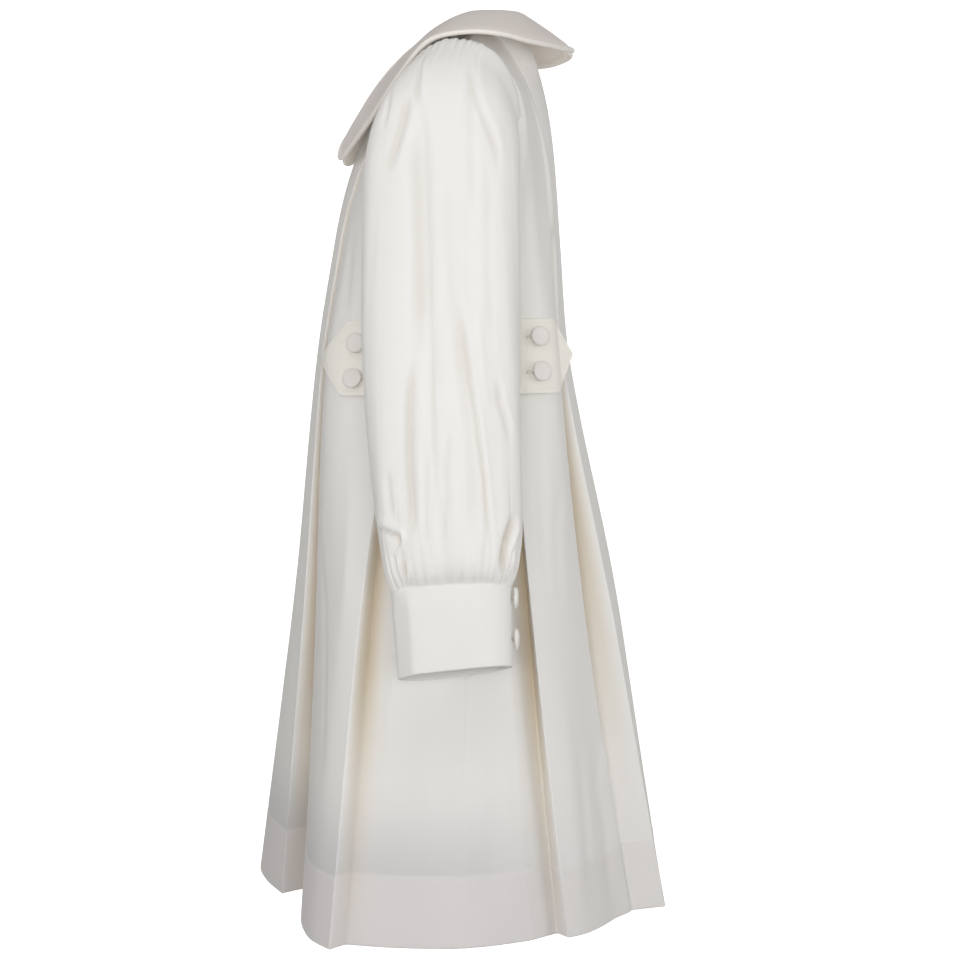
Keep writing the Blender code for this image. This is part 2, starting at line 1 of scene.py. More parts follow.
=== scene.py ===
import bpy
import numpy as np
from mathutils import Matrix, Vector


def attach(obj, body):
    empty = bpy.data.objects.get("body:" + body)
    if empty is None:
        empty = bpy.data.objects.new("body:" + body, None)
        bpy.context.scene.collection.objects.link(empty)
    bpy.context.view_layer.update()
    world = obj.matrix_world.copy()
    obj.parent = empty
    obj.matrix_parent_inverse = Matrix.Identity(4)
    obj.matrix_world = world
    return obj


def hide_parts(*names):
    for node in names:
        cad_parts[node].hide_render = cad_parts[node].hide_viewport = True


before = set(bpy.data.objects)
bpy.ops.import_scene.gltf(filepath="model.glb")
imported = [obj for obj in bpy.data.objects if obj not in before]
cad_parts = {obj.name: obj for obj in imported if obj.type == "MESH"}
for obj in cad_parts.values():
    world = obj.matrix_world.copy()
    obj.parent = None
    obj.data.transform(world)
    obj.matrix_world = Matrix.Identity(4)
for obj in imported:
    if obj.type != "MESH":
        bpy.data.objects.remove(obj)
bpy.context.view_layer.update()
print("frame loaded:", len(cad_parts), "nodes")

mm = 0.001

# studio

studio = {
    "photoSize": 960,
    "focalPixels": 2270,
    "cameraPlace": (2.4, 0.0, -0.285),
    "lookDown": 4.53,  # degrees
    "floorHeight": -1.27,
    "floorAhead": (6.0, 2.0),  # x where the floor starts, and a place on its flat part
    "floorHalfWidth": 5.0,
    "backdrop": -2.6,  # x where the floor turns up
    "backdropRadius": 1.2,
    "backdropRise": 5.0,
    "worldStrength": 0.22,
    "worldColour": (1.0, 0.96, 0.90),
    # each softbox: place, width and height, power, and how wide it spreads in degrees
    "softboxes": {
        "sideSoftbox": ((2.6, 0.0, -0.32), (1.8, 0.7), 7.8, 90),
        "topSoftbox": ((1.4, 0.0, 1.9), (1.8, 1.8), 14, 180),
        "frontSoftbox": ((1.9, -2.2, 0.5), (1.6, 1.6), 9, 120),
        "backSoftbox": ((0.9, 2.8, 0.1), (1.6, 1.6), 11, 120),
    },
    "softboxTarget": (0.0, 0.0, -0.25),
    "lightColour": (0.975, 0.984, 1.0),
    "floorColour": (0.62, 0.615, 0.61),
    "floorGlow": 1.0,
    "glowBehind": (-0.45, -0.9),  # x where the floor starts to glow, and where it glows fully
    "glowAside": (1.4, 1.9),  # where it fades to the sides and upward
    "glowUp": (0.6, 1.1),
    "glowRest": 0.12,
}


def addObject(name, data):
    thing = bpy.data.objects.new(name, data)
    bpy.context.scene.collection.objects.link(thing)
    return thing


def makeCamera():
    data = bpy.data.cameras.new("photoCamera")
    data.sensor_width = 36
    data.lens = 36 * studio["focalPixels"] / studio["photoSize"]
    camera = addObject("photoCamera", data)
    camera.location = studio["cameraPlace"]
    camera.rotation_euler = tuple(np.radians((90 - studio["lookDown"], 0, 90)))
    bpy.context.scene.camera = camera


def makeSoftbox(name, place, size, power, spread):
    data = bpy.data.lights.new(name, "AREA")
    data.shape = "RECTANGLE"
    data.size, data.size_y = size
    data.energy = power
    data.spread = np.radians(spread)
    data.color = studio["lightColour"]
    light = addObject(name, data)
    light.location = place
    toward = Vector(studio["softboxTarget"]) - Vector(place)
    light.rotation_euler = toward.to_track_quat("-Z", "Y").to_euler()


def makeStudio():
    # floor that turns up into a backdrop in one soft curve
    low, radius, back = studio["floorHeight"], studio["backdropRadius"], studio["backdrop"]
    line = [(x, low) for x in studio["floorAhead"]]
    for angle in np.radians(np.linspace(0, 90, 13)):
        line.append((back - radius * np.sin(angle), low + radius * (1 - np.cos(angle))))
    line.append((back - radius, low + studio["backdropRise"]))
    side = studio["floorHalfWidth"]
    grid = np.array([[(x, y, z) for x, z in line] for y in (-side, side)])
    floor = meshObject("studio_floor", grid.reshape(-1, 3), gridQuads(*grid.shape[:2]))
    material, tree, shader = newMaterial("paleFloor", 0.9)
    shader.inputs["Base Color"].default_value = (*studio["floorColour"], 1)
    shader.inputs["Emission Color"].default_value = (1, 1, 1, 1)
    # it glows behind the dress, and less to the sides and upward
    place = addNode(tree, "TexCoord").outputs["Object"]
    x, y, z = addNode(tree, "SeparateXYZ", {0: place}).outputs
    glow = addRange(tree, x, studio["glowBehind"], (0, studio["floorGlow"]))
    for source, limits in ((addMath(tree, "ABSOLUTE", y), "glowAside"), (z, "glowUp")):
        fade = addRange(tree, source, studio[limits], (1, studio["glowRest"]))
        glow = addMath(tree, "MULTIPLY", glow, fade)
    tree.links.new(glow, shader.inputs["Emission Strength"])
    floor.data.materials.append(material)

    world = bpy.data.worlds.new("paleStudio")
    world.use_nodes = True
    background = world.node_tree.nodes["Background"]
    background.inputs["Color"].default_value = (*studio["worldColour"], 1)
    background.inputs["Strength"].default_value = studio["worldStrength"]
    bpy.context.scene.world = world
    for name, settings in studio["softboxes"].items():
        makeSoftbox(name, *settings)
    bpy.context.scene.view_settings.view_transform = "Standard"


# mesh tools

def gridQuads(rows, cols, around=False):
    # faces of a grid of points, row by row
    r, c = np.meshgrid(np.arange(rows - 1), np.arange(cols if around else cols - 1), indexing="ij")
    here, beside = r * cols + c, r * cols + (c + 1) % cols
    return np.stack([here, beside, beside + cols, here + cols], axis=-1).reshape(-1, 4)


def meshObject(name, points, quads, layers=None, triangles=np.zeros((0, 3), int)):
    mesh = bpy.data.meshes.new(name)
    mesh.vertices.add(len(points))
    mesh.vertices.foreach_set("co", np.asarray(points, dtype=np.float32).ravel())
    corners = np.concatenate([quads.ravel(), triangles.ravel()]).astype(np.int32)
    starts = np.concatenate([np.arange(0, quads.size, 4), np.arange(quads.size, len(corners), 3)])
    mesh.loops.add(len(corners))
    mesh.loops.foreach_set("vertex_index", corners)
    mesh.polygons.add(len(starts))
    mesh.polygons.foreach_set("loop_start", starts.astype(np.int32))
    mesh.update(calc_edges=True)
    mesh.validate()
    mesh.shade_smooth()
    for label, values in (layers or {}).items():
        kind, field = ("FLOAT_VECTOR", "vector") if values.ndim == 2 else ("FLOAT", "value")
        layer = mesh.attributes.new(label, kind, "POINT")
        layer.data.foreach_set(field, values.astype(np.float32).ravel())
    return addObject(name, mesh)


def unit(vectors):
    return vectors / np.maximum(np.linalg.norm(vectors, axis=-1, keepdims=True), 1e-12)


def walked(points, axis=0):
    # how far each point is from the first one, along a line or along a grid's columns or rows
    steps = np.linalg.norm(np.diff(points, axis=axis), axis=-1)
    return np.concatenate([0 * np.take(steps, [0], axis), np.cumsum(steps, axis=axis)], axis=axis)


def placeAt(line, lengths, where):
    return np.stack([np.interp(where, lengths, line[:, k]) for k in range(3)], -1)


def bump(x, middle=0.0, half=1.0):
    return np.exp(-((x - middle) / half) ** 2)


def ramp(x, low, high):
    return np.clip((x - low) / (high - low), 0, 1)


def smooth(t):
    return t * t * (3 - 2 * t)


def bend(start, middle, end, t):
    return start * (1 - t) ** 2 + middle * 2 * t * (1 - t) + end * t ** 2


def gridNormals(grid, around=False):
    across = np.roll(grid, -1, axis=1) - np.roll(grid, 1, axis=1) if around else np.gradient(grid, axis=1)
    return unit(np.cross(across, np.gradient(grid, axis=0)))


def clothShell(name, outer, thickness, layers, around=False, rimSteps=3):
    # a thin closed shell with half round edges; outer is a grid in mm, thickness a number or a grid
    rows, cols = outer.shape[:2]
    count = rows * cols
    inner = outer - gridNormals(outer, around) * (np.zeros((rows, cols)) + thickness)[..., None]
    index = np.arange(count).reshape(rows, cols)
    flat = gridQuads(rows, cols, around)
    faces = [flat, flat[:, ::-1] + count]
    upward = np.zeros_like(outer)  # away from the piece along its own surface
    upward[0] += unit(outer[0] - outer[1])
    upward[-1] += unit(outer[-1] - outer[-2])
    if around:
        loops = [index[0], index[-1][::-1]]
    else:
        upward[:, 0] += unit(outer[:, 0] - outer[:, 1])
        upward[:, -1] += unit(outer[:, -1] - outer[:, -2])
        loops = [np.concatenate([index[0, :-1], index[:-1, -1], index[-1, :0:-1], index[:0:-1, 0]])]
    outFlat, inFlat, upFlat = [part.reshape(-1, 3) for part in (outer, inner, unit(upward))]
    points, source, made = [outFlat, inFlat], [index.ravel(), index.ravel()], 2 * count
    for loop in loops:
        middle, half = (outFlat[loop] + inFlat[loop]) / 2, (outFlat[loop] - inFlat[loop]) / 2
        size = np.linalg.norm(half, axis=1, keepdims=True)
        rings = [loop]
        for turn in np.pi * np.arange(1, rimSteps + 1) / (rimSteps + 1):
            points.append(middle + half * np.cos(turn) + upFlat[loop] * size * np.sin(turn))
            source.append(loop)
            rings.append(np.arange(made, made + len(loop)))
            made += len(loop)
        rings.append(loop + count)
        for a, b in zip(rings, rings[1:]):
            faces.append(np.stack([np.roll(a, -1), a, b, np.roll(b, -1)], axis=-1))
    source = np.concatenate(source)
    layers = {label: values.reshape(count, -1)[source].squeeze() for label, values in layers.items()}
    # the inner surface; the collar's finish paints it lighter, as painted light from below
    layers["inside"] = np.repeat([0.0, 1.0, 0.0], [count, count, made - 2 * count])
    return meshObject(name, np.concatenate(points) * mm, np.concatenate(faces), layers)


def mirrorGrid(grid):
    return grid[:, ::-1] * np.array([-1, 1, 1])


def forSide(side, grid, layers):
    # a left piece as it was made, or mirrored for the right
    if side == "left":
        return grid, layers
    return mirrorGrid(grid), {label: values[:, ::-1] for label, values in layers.items()}


def smoothRows(table, places):
    # rows of a table at fractional places, smoothed through their neighbours
    table = np.asarray(table, dtype=float)
    last = len(table) - 1
    if last == 0:
        return table.copy()
    index = np.clip(places.astype(int), 0, last - 1)
    a, b = table[np.maximum(index - 1, 0)], table[index]
    c, d = table[index + 1], table[np.minimum(index + 2, last)]
    t = (places - index)[:, None]
    curve = (c - a) * t + (2 * a - 5 * b + 4 * c - d) * t ** 2 + (3 * b - a - 3 * c + d) * t ** 3
    return b + 0.5 * curve


def softNoise(x, y, seed):
    # smooth value noise of about -1 to 1 with cells one unit wide
    table = np.random.RandomState(seed).uniform(-1, 1, (64, 64))
    xi, yi = np.floor(x).astype(int), np.floor(y).astype(int)
    fx, fy = smooth(x - xi), smooth(y - yi)
    a, b = table[xi % 64, yi % 64], table[(xi + 1) % 64, yi % 64]
    c, d = table[xi % 64, (yi + 1) % 64], table[(xi + 1) % 64, (yi + 1) % 64]
    return (a * (1 - fx) + b * fx) * (1 - fy) + (c * (1 - fx) + d * fx) * fy


def slowWaves(waves, across, down, seed):
    # the cloth's own unevenness: each wave's height, width and length in mm, and where its noise starts
    return sum(height * softNoise(across / wide + x, down / long + y, seed + k)
               for k, (height, wide, long, x, y) in enumerate(waves))


def relief(far, shapes):
    # ridges and dents along a seam or an edge: height, how far from it, and half width
    return sum(height * bump(far, place, half) for height, place, half in shapes)


def sidePlaces(grid, spots, normals):
    # the places on a grid that lie outermost at these distances back and up, as the left side shows them
    facing = normals[..., 0] > 0.05
    result = []
    for spot in spots:
        miss = (((grid[..., 1:] - np.array(spot)) ** 2).sum(axis=-1) + np.where(facing, 0, 1e6)).ravel()
        near = np.argsort(miss)[:4]
        weight = 1 / (miss[near] + 0.5)
        result.append((grid.reshape(-1, 3)[near] * weight[:, None]).sum(axis=0) / weight.sum())
    return np.array(result)


def creaseHeight(grid, normals, line, depth, width, lean, ends=(0.25, 0.3)):
    # how far one crease along a line pushes each grid point in; lean sets a ridge beside the trough, and
    # ends the shares of the line over which it fades
    line = smoothRows(line, np.linspace(0, len(line) - 1, (len(line) - 1) * 6 + 1))
    lengths = walked(line)
    best = np.full(grid.shape[:2], 1e9)
    along, side = 0 * best, 0 * best
    for k in range(len(line) - 1):
        step = line[k + 1] - line[k]
        t = np.clip(((grid - line[k]) @ step) / (step @ step), 0, 1)
        away = grid - line[k] - t[..., None] * step
        far = np.linalg.norm(away, axis=-1)
        nearer = far < best
        best = np.where(nearer, far, best)
        along = np.where(nearer, lengths[k] + t * (lengths[k + 1] - lengths[k]), along)
        side = np.where(nearer, np.einsum("rci,rci->rc", np.cross(normals, unit(step)), away), side)
    share = along / lengths[-1]
    fade = smooth(ramp(share, 0, ends[0]) * ramp(share, 1, 1 - ends[1]))
    ridge = lean * bump(np.sign(side) * best, 1.7 * width, 1.2 * width)
    return depth * (ridge - bump(best, 0, width)) * fade


# materials

def addNode(tree, kind, inputs=None, **settings):
    # an input is a value or another node's output
    node = tree.nodes.new("ShaderNode" + kind)
    for key, value in settings.items():
        setattr(node, key, value)
    for key, value in (inputs or {}).items():
        if isinstance(value, bpy.types.NodeSocket):
            tree.links.new(value, node.inputs[key])
        else:
            node.inputs[key].default_value = value
    return node


def addMath(tree, operation, *values):
    return addNode(tree, "Math", dict(enumerate(values)), operation=operation).outputs[0]


def addRange(tree, source, limits, results):
    ends = {"From Min": limits[0], "From Max": limits[1], "To Min": results[0], "To Max": results[1]}
    return addNode(tree, "MapRange", {"Value": source, **ends}).outputs[0]


def addMix(tree, share, first, second):
    return addNode(tree, "Mix", {0: share, 6: first, 7: (*second, 1)}, data_type="RGBA").outputs[2]


def addNoise(tree, **inputs):
    return addNode(tree, "TexNoise", inputs).outputs["Fac"]


def newMaterial(name, roughness):
    material = bpy.data.materials.new(name)
    material.use_nodes = True
    shader = material.node_tree.nodes["Principled BSDF"]
    shader.inputs["Roughness"].default_value = roughness
    return material, material.node_tree, shader


crepe = {
    "warm": (0.80, 0.765, 0.700),
    "threadPitch": 0.00062,  # metres
    "threadBump": 0.16,
    "threadHeight": 0.0003,
    "grainSize": 900,
    "grainBump": 0.22,
    "grainHeight": 0.0006,
    "slub": (26, 620, 1),  # how many uneven yarns to a metre, along and across
    "mottleSize": 34.0,
    "mottle": 0.035,
    "roughness": 0.86,
    "specular": 0.22,
    "sheen": 0.18,
    "sheenRoughness": 0.55,
    # for each slot: the material's name, its ivory, and the tints that mesh layers lay over it. The body is
    # greyer toward the hem at the front and sides, painted shade where less light falls; its doubled hem is a
    # little warmer and carries part of that painted shade; and inside a groove it is darker and warmer,
    # painted shade.
    "finishes": {
        "body_cloth": ("ivoryCrepe", (0.845, 0.83, 0.805), {
            "worn": (0.66, 0.65, 0.645), "double": (0.73, 0.70, 0.69), "groove": (0.565, 0.45, 0.28)}),
        # the sleeve is darker and warmer in its folds: painted shade
        "sleeve_cloth": ("sleeveCrepe", (0.865, 0.85, 0.825), {"valley": (0.69, 0.648, 0.575)}),
        # the cuffs are the sleeve's crepe made a little darker: painted shade, as less light reaches them
        "cuff_cloth": ("cuffCrepeShaded", (0.82, 0.808, 0.782), {}),
        # the collar is lighter along its rolled edge, a painted highlight, and lighter underneath, painted
        # light
        "collar_cloth": ("collarCrepe", (0.825, 0.762, 0.728), {
            "edge": (0.87, 0.825, 0.775), "inside": (0.93, 0.87, 0.80)}),
        "band_cloth": ("bandCrepe", (0.89, 0.862, 0.80), {}),
        "button_cloth": ("buttonCrepe", (0.81, 0.785, 0.75), {}),
    },
}

thread = {
    "colour": (0.84, 0.79, 0.68),
    "roughness": 0.55,
    # the slit's dark colour is painted shade in the gap
    "slitShadeColour": (0.22, 0.18, 0.12),
    "slitRoughness": 0.9,
    "twist": 700.0,
    "darker": 0.82,
}


def crepeFinish(name, ivory, tints):
    # wool crepe: crossed threads, pebbled grain, uneven yarn and a faint sheen
    material, tree, shader = newMaterial(name, crepe["roughness"])
    shader.inputs["Specular IOR Level"].default_value = crepe["specular"]
    shader.inputs["Sheen Weight"].default_value = crepe["sheen"]
    shader.inputs["Sheen Roughness"].default_value = crepe["sheenRoughness"]
    cloth = addNode(tree, "Attribute", attribute_name="grain").outputs["Vector"]
    split = addNode(tree, "SeparateXYZ", {0: cloth}).outputs
    # weft and warp threads as two rounded waves
    turns = 2 * np.pi / crepe["threadPitch"]
    waves = [addMath(tree, "SINE", addMath(tree, "MULTIPLY", split[k], turns)) for k in (0, 1)]
    crossed = addMath(tree, "MULTIPLY", *waves)
    grain = addNoise(tree, Vector=cloth, Scale=crepe["grainSize"], Detail=2.0, Roughness=0.6)
    yarns = addNode(tree, "VectorMath", {0: cloth, 1: crepe["slub"]}, operation="MULTIPLY").outputs[0]
    slub = addNoise(tree, Vector=yarns, Scale=1.0, Detail=2.0)
    mottle = addNoise(tree, Vector=cloth, Scale=crepe["mottleSize"], Detail=3.0, Roughness=0.55)
    # ivory, a little warmer and darker in some yarns
    tone = addRange(tree, addMath(tree, "ADD", slub, mottle), (0.7, 1.3), (0, crepe["mottle"] * 4))
    colour = addMix(tree, tone, (*ivory, 1), crepe["warm"])
    for label, tint in tints.items():
        share = addNode(tree, "Attribute", attribute_name=label).outputs["Fac"]
        colour = addMix(tree, share, colour, tint)
    tree.links.new(colour, shader.inputs["Base Color"])
    normal = addNode(tree, "Bump", {"Strength": crepe["grainBump"], "Distance": crepe["grainHeight"],
                                    "Height": grain}).outputs[0]
    normal = addNode(tree, "Bump", {"Strength": crepe["threadBump"], "Distance": crepe["threadHeight"],
                                    "Height": crossed, "Normal": normal}).outputs[0]
    tree.links.new(normal, shader.inputs["Normal"])
    return material


def twistedFinish(name, colour, roughness):
    # twisted thread, with a fine uneven tone
    material, tree, shader = newMaterial(name, roughness)
    noise = addNoise(tree, Scale=thread["twist"], Detail=2.0)
    tone = addMix(tree, noise, (*colour, 1), [thread["darker"] * part for part in colour])
    tree.links.new(tone, shader.inputs["Base Color"])
    return material


finishes = {slot: crepeFinish(*settings) for slot, settings in crepe["finishes"].items()}
threadFinish = twistedFinish("ivoryThread", thread["colour"], thread["roughness"])
slitShadeFinish = twistedFinish("buttonholeSlitShade", thread["slitShadeColour"], thread["slitRoughness"])
print("materials ready:", len(finishes) + 2)


def finishPiece(piece, node, slot):
    piece.data.materials.append(finishes[slot])
    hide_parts(node)
    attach(piece, "root")


def clothPiece(part, slot, *shell, **ways):
    # the crepe shell that stands for one cut piece
    piece = clothShell(f"{part}_crepe", *shell, **ways)
    finishPiece(piece, part, slot)
    return piece


def grainLayer(across, down):
    return np.stack([across * mm, down * mm, 0 * across], -1)


makeCamera()
makeStudio()
print("studio ready")


# stitches

def addBar(points, faces, ends, normal, width, rise, taper, lower, under):
    # a low rounded bar between two places, in three sections of four points; lower takes it down into the
    # cloth, and under is how far it reaches below
    a, b = ends
    sideways = np.cross(normal, unit(b - a)) * width / 2
    start = len(points)
    for spot, size in ((a, taper), ((a + b) / 2, 1.0), (b, taper)):
        points.extend([spot + sideways * size, spot + normal * (rise * size - lower), spot - sideways * size,
                       spot - normal * under])
    for j in (start, start + 4):
        for i in range(4):
            n = (i + 1) % 4
            faces.append((j + i, j + n, j + 4 + n, j + 4 + i))
    faces.extend([(start + 3, start + 2, start + 1, start), (start + 8, start + 9, start + 10, start + 11)])


def stitchRun(name, line, normals, look):
    # a run of separate stitches along a line of points in mm
    lengths = walked(line)
    step = look["stitchLength"] + look["stitchGap"]
    points, faces = [], []
    for k in range(int(lengths[-1] / step)):
        ends = [placeAt(line, lengths, k * step + long) for long in (0, look["stitchLength"])]
        normal = unit(placeAt(normals, lengths, k * step))
        addBar(points, faces, ends, normal, look["stitchWidth"], rise=0.26, taper=0.35, lower=0.05, under=0.2)
    stitches = meshObject(name, np.array(points) * mm, np.array(faces))
    stitches.data.materials.append(threadFinish)
    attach(stitches, "root")
    return stitches


# sleeves: rings from the armhole down, in mm

# inner x, inner z, outer x, outer z, front y, back y, how much lower the front is
sleeveRings = np.array([
    (164.5, -208.5, 153.5, -38.5, -68, 36, 0),
    (166.5, -210.5, 193, -45, -91, 36, 0),
    (168, -213, 228, -79, -105, 38, 0),
    (170, -219, 248, -127, -111, 38, 0),
    (172.5, -238, 257, -180, -112, 38, 0),
    (176, -275, 266, -239, -112.5, 38, 0),
    (187, -318, 278, -292, -112.5, 38, 0),
    (200, -366, 290, -343, -110.5, 38.5, 0),
    (212, -415, 301, -392, -107, 39, 0),
    (224, -466, 311, -442, -102, 39.5, 1),
    (237, -514, 321, -490, -96, 40, 2),
    (247, -541, 325, -517, -91, 37, 4),
    (258, -556, 323, -536, -86, 32.5, 5),
    (266, -563.5, 317.5, -548, -82.3, 28.8, 6),
])

sleeve = {
    "cloth": 1.0,
    "columns": 300,
    "rowsPerRing": 10,
    "armholeNotch": 4,
    "squareness": (0, 0.3, 0.6, 0.75, 0.8, 0.8, 0.8, 0.8, 0.8, 0.8, 0.8, 0.8, 0.8, 0.9),
    "backSquareness": 0.6,  # the back quarter's share of it
    "cut": (0.40, 0.50),  # flat size in metres, as for every other piece
    "valley": (0.3, 5.8),  # how deep a fold is in mm where its painted shade starts, and where it is full
    # how far the cloth puffs out past each seam, where it does so most, and half width
    "cuffPuff": [(1.2, 16, 12)],
    "headPuff": [(0.8, 19, 15)],
    "crownPuff": [(8.0, 19, 15)],  # more at the top of the head, up to crownLimit degrees to each side
    "crownTurn": 4,
    "crownLimit": 80,
    "crownNarrowing": 1.1,  # how much sooner it falls to the sides than a cosine, and how sharply
    "crownSharpness": 1.3,
    "calm": 30,  # how far from a seam its slow waves are full, in mm
    "waves": (0.7, 170, 260),  # height, and length to the side and downward
    "ripples": (0.22, 60),
    "waveTurn": 2.4,  # how many waves go round it
    # the gathers at each seam: how many, over which degrees of the outer line, how unevenly they are spaced,
    # depth, how long two in three and one in three are, half width, slant, and how sharply each one ends
    "gathers": {
        "head": {"count": 20, "degrees": (-62, 30), "uneven": 0.3, "depth": (0.8, 1.7), "short": (44, 60),
                 "long": (62, 88), "width": (1.5, 2.2), "slant": 0, "fade": 3},
        "cuff": {"count": 44, "degrees": (0, 360), "uneven": 0.4, "depth": (1.0, 2.5), "short": (14, 32),
                 "long": (44, 95), "width": (1.6, 2.5), "slant": 0.07, "fade": 1.4},
    },
}

# The folds that the left side shows, from top to bottom: how far back and how high in mm, then depth,
# half width and the share of a ridge beside them. A negative depth is a ridge.
sleeveFolds = [
    # the long valley from the head seam to the cuff
    ([(-55, -56), (-57, -74), (-59, -90), (-54, -110), (-50, -130), (-48, -190), (-46, -240), (-45, -290),
      (-43, -331), (-42, -377), (-41, -423), (-38, -469), (-35, -519), (-33, -540)], 2.5, 2.8, 0.4),
    ([(-56, -54), (-58, -74), (-59, -90), (-55, -108)], 2.6, 2.2, 0.6),
    # broad and soft before it, then a deep one down to the crumple over the cuff
    ([(-60, -97), (-59, -191), (-57, -285), (-58, -350)], 2.9, 7.5, 0.1),
    ([(-60, -325), (-64, -365), (-66, -405), (-65, -435), (-63, -469), (-63, -496), (-67, -515),
      (-76, -521)], 3.4, 4.2, 0.6),
    ([(-53, -360), (-54, -410), (-53, -470)], -1.6, 4.0, 0.0),
    ([(-99, -493), (-87, -497), (-76, -502), (-78, -511), (-84, -516)], 4.2, 2.7, 0.9),
    ([(-80, -520), (-78, -532), (-75, -544)], 2.6, 2.0, 0.6),
    ([(-70, -524), (-69, -534), (-69, -543)], 2.4, 1.8, 0.6),
    # slanting forward from the head
    ([(-66, -88), (-70, -106), (-73, -118), (-78, -135), (-81, -146), (-85, -158),
      (-89, -173)], 3.0, 4.4, 0.5),
    ([(-84, -84), (-88, -104), (-93, -128)], 1.9, 3.4, 0.4),
    # slanting back from the head, under the smooth bulge
    ([(-8, -54), (-8, -68), (-4, -90), (4, -111), (13, -135), (17, -150), (18, -170)], 2.4, 4.4, 0.15),
    ([(-10, -60), (-10, -84), (-9, -120), (-7, -191), (-6, -225)], 1.8, 5.0, 0.2),
    ([(9, -150), (8, -215), (10, -290), (9, -330)], 1.0, 5.0, 0.0),
    ([(-31, -150), (-30, -200), (-28, -262), (-24, -330)], 1.4, 6.5, 0.0),
    ([(-18, -165), (-17, -215), (-14, -290), (-8, -330)], -1.6, 4.5, 0.0),
    # the lower valley toward the back of the cuff, and the broad hollow before it
    ([(-21, -280), (-18, -296), (-13, -328), (-8, -363), (-4, -389), (0, -419), (4, -445),
      (6, -468), (9, -501), (12, -523), (13, -541)], 2.6, 2.6, 0.5),
    ([(-22, -268), (-18, -331), (-14, -377), (-9, -423), (-7, -469), (-7, -535)], 2.3, 7.0, 0.1),
    ([(-4, -290), (2, -340), (8, -400)], -1.5, 5.0, 0.0),
    ([(16, -355), (20, -378), (25, -398), (29, -420)], 1.9, 4.0, 0.3),
    # between the two valleys
    ([(-49, -410), (-48, -445), (-48, -495), (-47, -536)], 2.0, 2.6, 0.4),
    ([(-29, -390), (-30, -430), (-31, -480), (-32, -535)], 2.3, 3.2, 0.3),
    ([(-22, -440), (-21, -480), (-21, -538)], -1.2, 4.0, 0.0),
    # the hollow under the bulge at the back of the cuff
    ([(34, -484), (29, -496), (25, -508), (22, -524), (21, -543)], 6.2, 4.2, 0.6),
    ([(30, -512), (28, -526), (27, -540)], 2.2, 2.0, 0.4),
    ([(-86, -440), (-84, -468), (-80, -490)], 2.0, 4.0, 0.3),
]

# the hidden side's folds: ring and degrees from top to bottom, then depth, half width and ridge
hiddenFolds = [
    ([(1, 150), (3, 152), (6, 158), (9, 160)], 2.6, 5.0, 0.4),
    ([(1, 205), (3, 200), (5, 196)], 2.8, 4.0, 0.5),
    ([(2, 118), (4, 122), (7, 126)], 1.8, 5.0, 0.3),
    ([(5, 232), (8, 228), (12, 226)], 2.8, 4.2, 0.5),
    ([(7, 178), (9, 184), (12.6, 182)], 3.0, 4.0, 0.5),
    ([(8, 142), (10, 146), (12.7, 142)], 2.4, 3.6, 0.5),
    ([(9, 205), (11, 206), (12.8, 203)], 2.0, 3.0, 0.5),
    ([(6, 262), (9, 266), (12.4, 262)], 2.0, 4.0, 0.4),
    ([(10, 118), (11.5, 116), (12.8, 120)], 2.0, 3.0, 0.5),
]


def roundedTurn(degrees, squareness, backSquareness):
    # cosine and sine of a ring that is fuller than an oval on its outer half
    turn = np.radians(degrees)[None, :]
    cosine, sine = np.cos(turn), np.sin(turn)
    fuller = np.where(sine < 0, np.asarray(squareness)[:, None], np.asarray(backSquareness)[:, None])
    power = np.where(cosine > 0, 2 / (2 + fuller), 1)
    return np.sign(cosine) * np.abs(cosine) ** power, np.sign(sine) * np.abs(sine) ** power


def ringFrame(rings):
    # centre, half width and half depth of one ring or many
    innerX, innerZ, outerX, outerZ, front, back, dip = np.transpose(rings)
    centre = np.stack([(innerX + outerX) / 2, (front + back) / 2, (innerZ + outerZ) / 2], -1)
    across = np.stack([(outerX - innerX) / 2, 0 * dip, (outerZ - innerZ) / 2], -1)
    along = np.stack([0 * dip, (back - front) / 2, dip / 2], -1)
    return centre, across, along


def sleeveSurface(places, degrees):
    # points of the sleeve's plain form at fractional rings and angles
    squareness = np.interp(places, np.arange(len(sleeveRings)), sleeve["squareness"])
    wide, deep = roundedTurn(degrees, squareness, squareness * sleeve["backSquareness"])
    centre, across, along = [part[:, None] for part in ringFrame(smoothRows(sleeveRings, places))]
    grid = centre + across * wide[..., None] + along * deep[..., None]
    notch = sleeve["armholeNotch"] * np.clip(1 - places, 0, 1)
    grid[..., 0] -= notch[:, None] * np.sin(np.radians(degrees))[None, :] ** 2
    return grid


def gatherHeight(look, chance, arc, far, degrees):
    # small uneven troughs that run out of a seam
    height = np.zeros_like(arc)
    total = arc[:, -1:] + (arc[:, 1:2] - arc[:, :1])
    low, high = look["degrees"]
    for k in range(look["count"]):
        angle = low + (high - low) * (k + chance.uniform(-look["uneven"], look["uneven"])) / look["count"]
        depth = chance.uniform(*look["depth"])
        long = chance.uniform(*look["short" if k % 3 else "long"])
        width = chance.uniform(*look["width"])
        slant = chance.uniform(-look["slant"], look["slant"]) * far if look["slant"] else 0
        away = ((degrees - angle + 180) % 360 - 180)[None, :] * np.radians(1) * total / (2 * np.pi)
        height -= depth * bump(away, slant, width) * np.exp(-(far / long) ** look["fade"])
    return height


def foldLines(grid, normals):
    # every fold's line on the grid, then its depth, half width and ridge
    lines = [(sidePlaces(grid, spots, normals), *rest) for spots, *rest in sleeveFolds]
    for spots, *rest in hiddenFolds:
        fine = smoothRows(spots, np.linspace(0, len(spots) - 1, 12))[..., None]
        lines.append((np.array([sleeveSurface(place, -angle)[0, 0] for place, angle in fine]), *rest))
    return lines


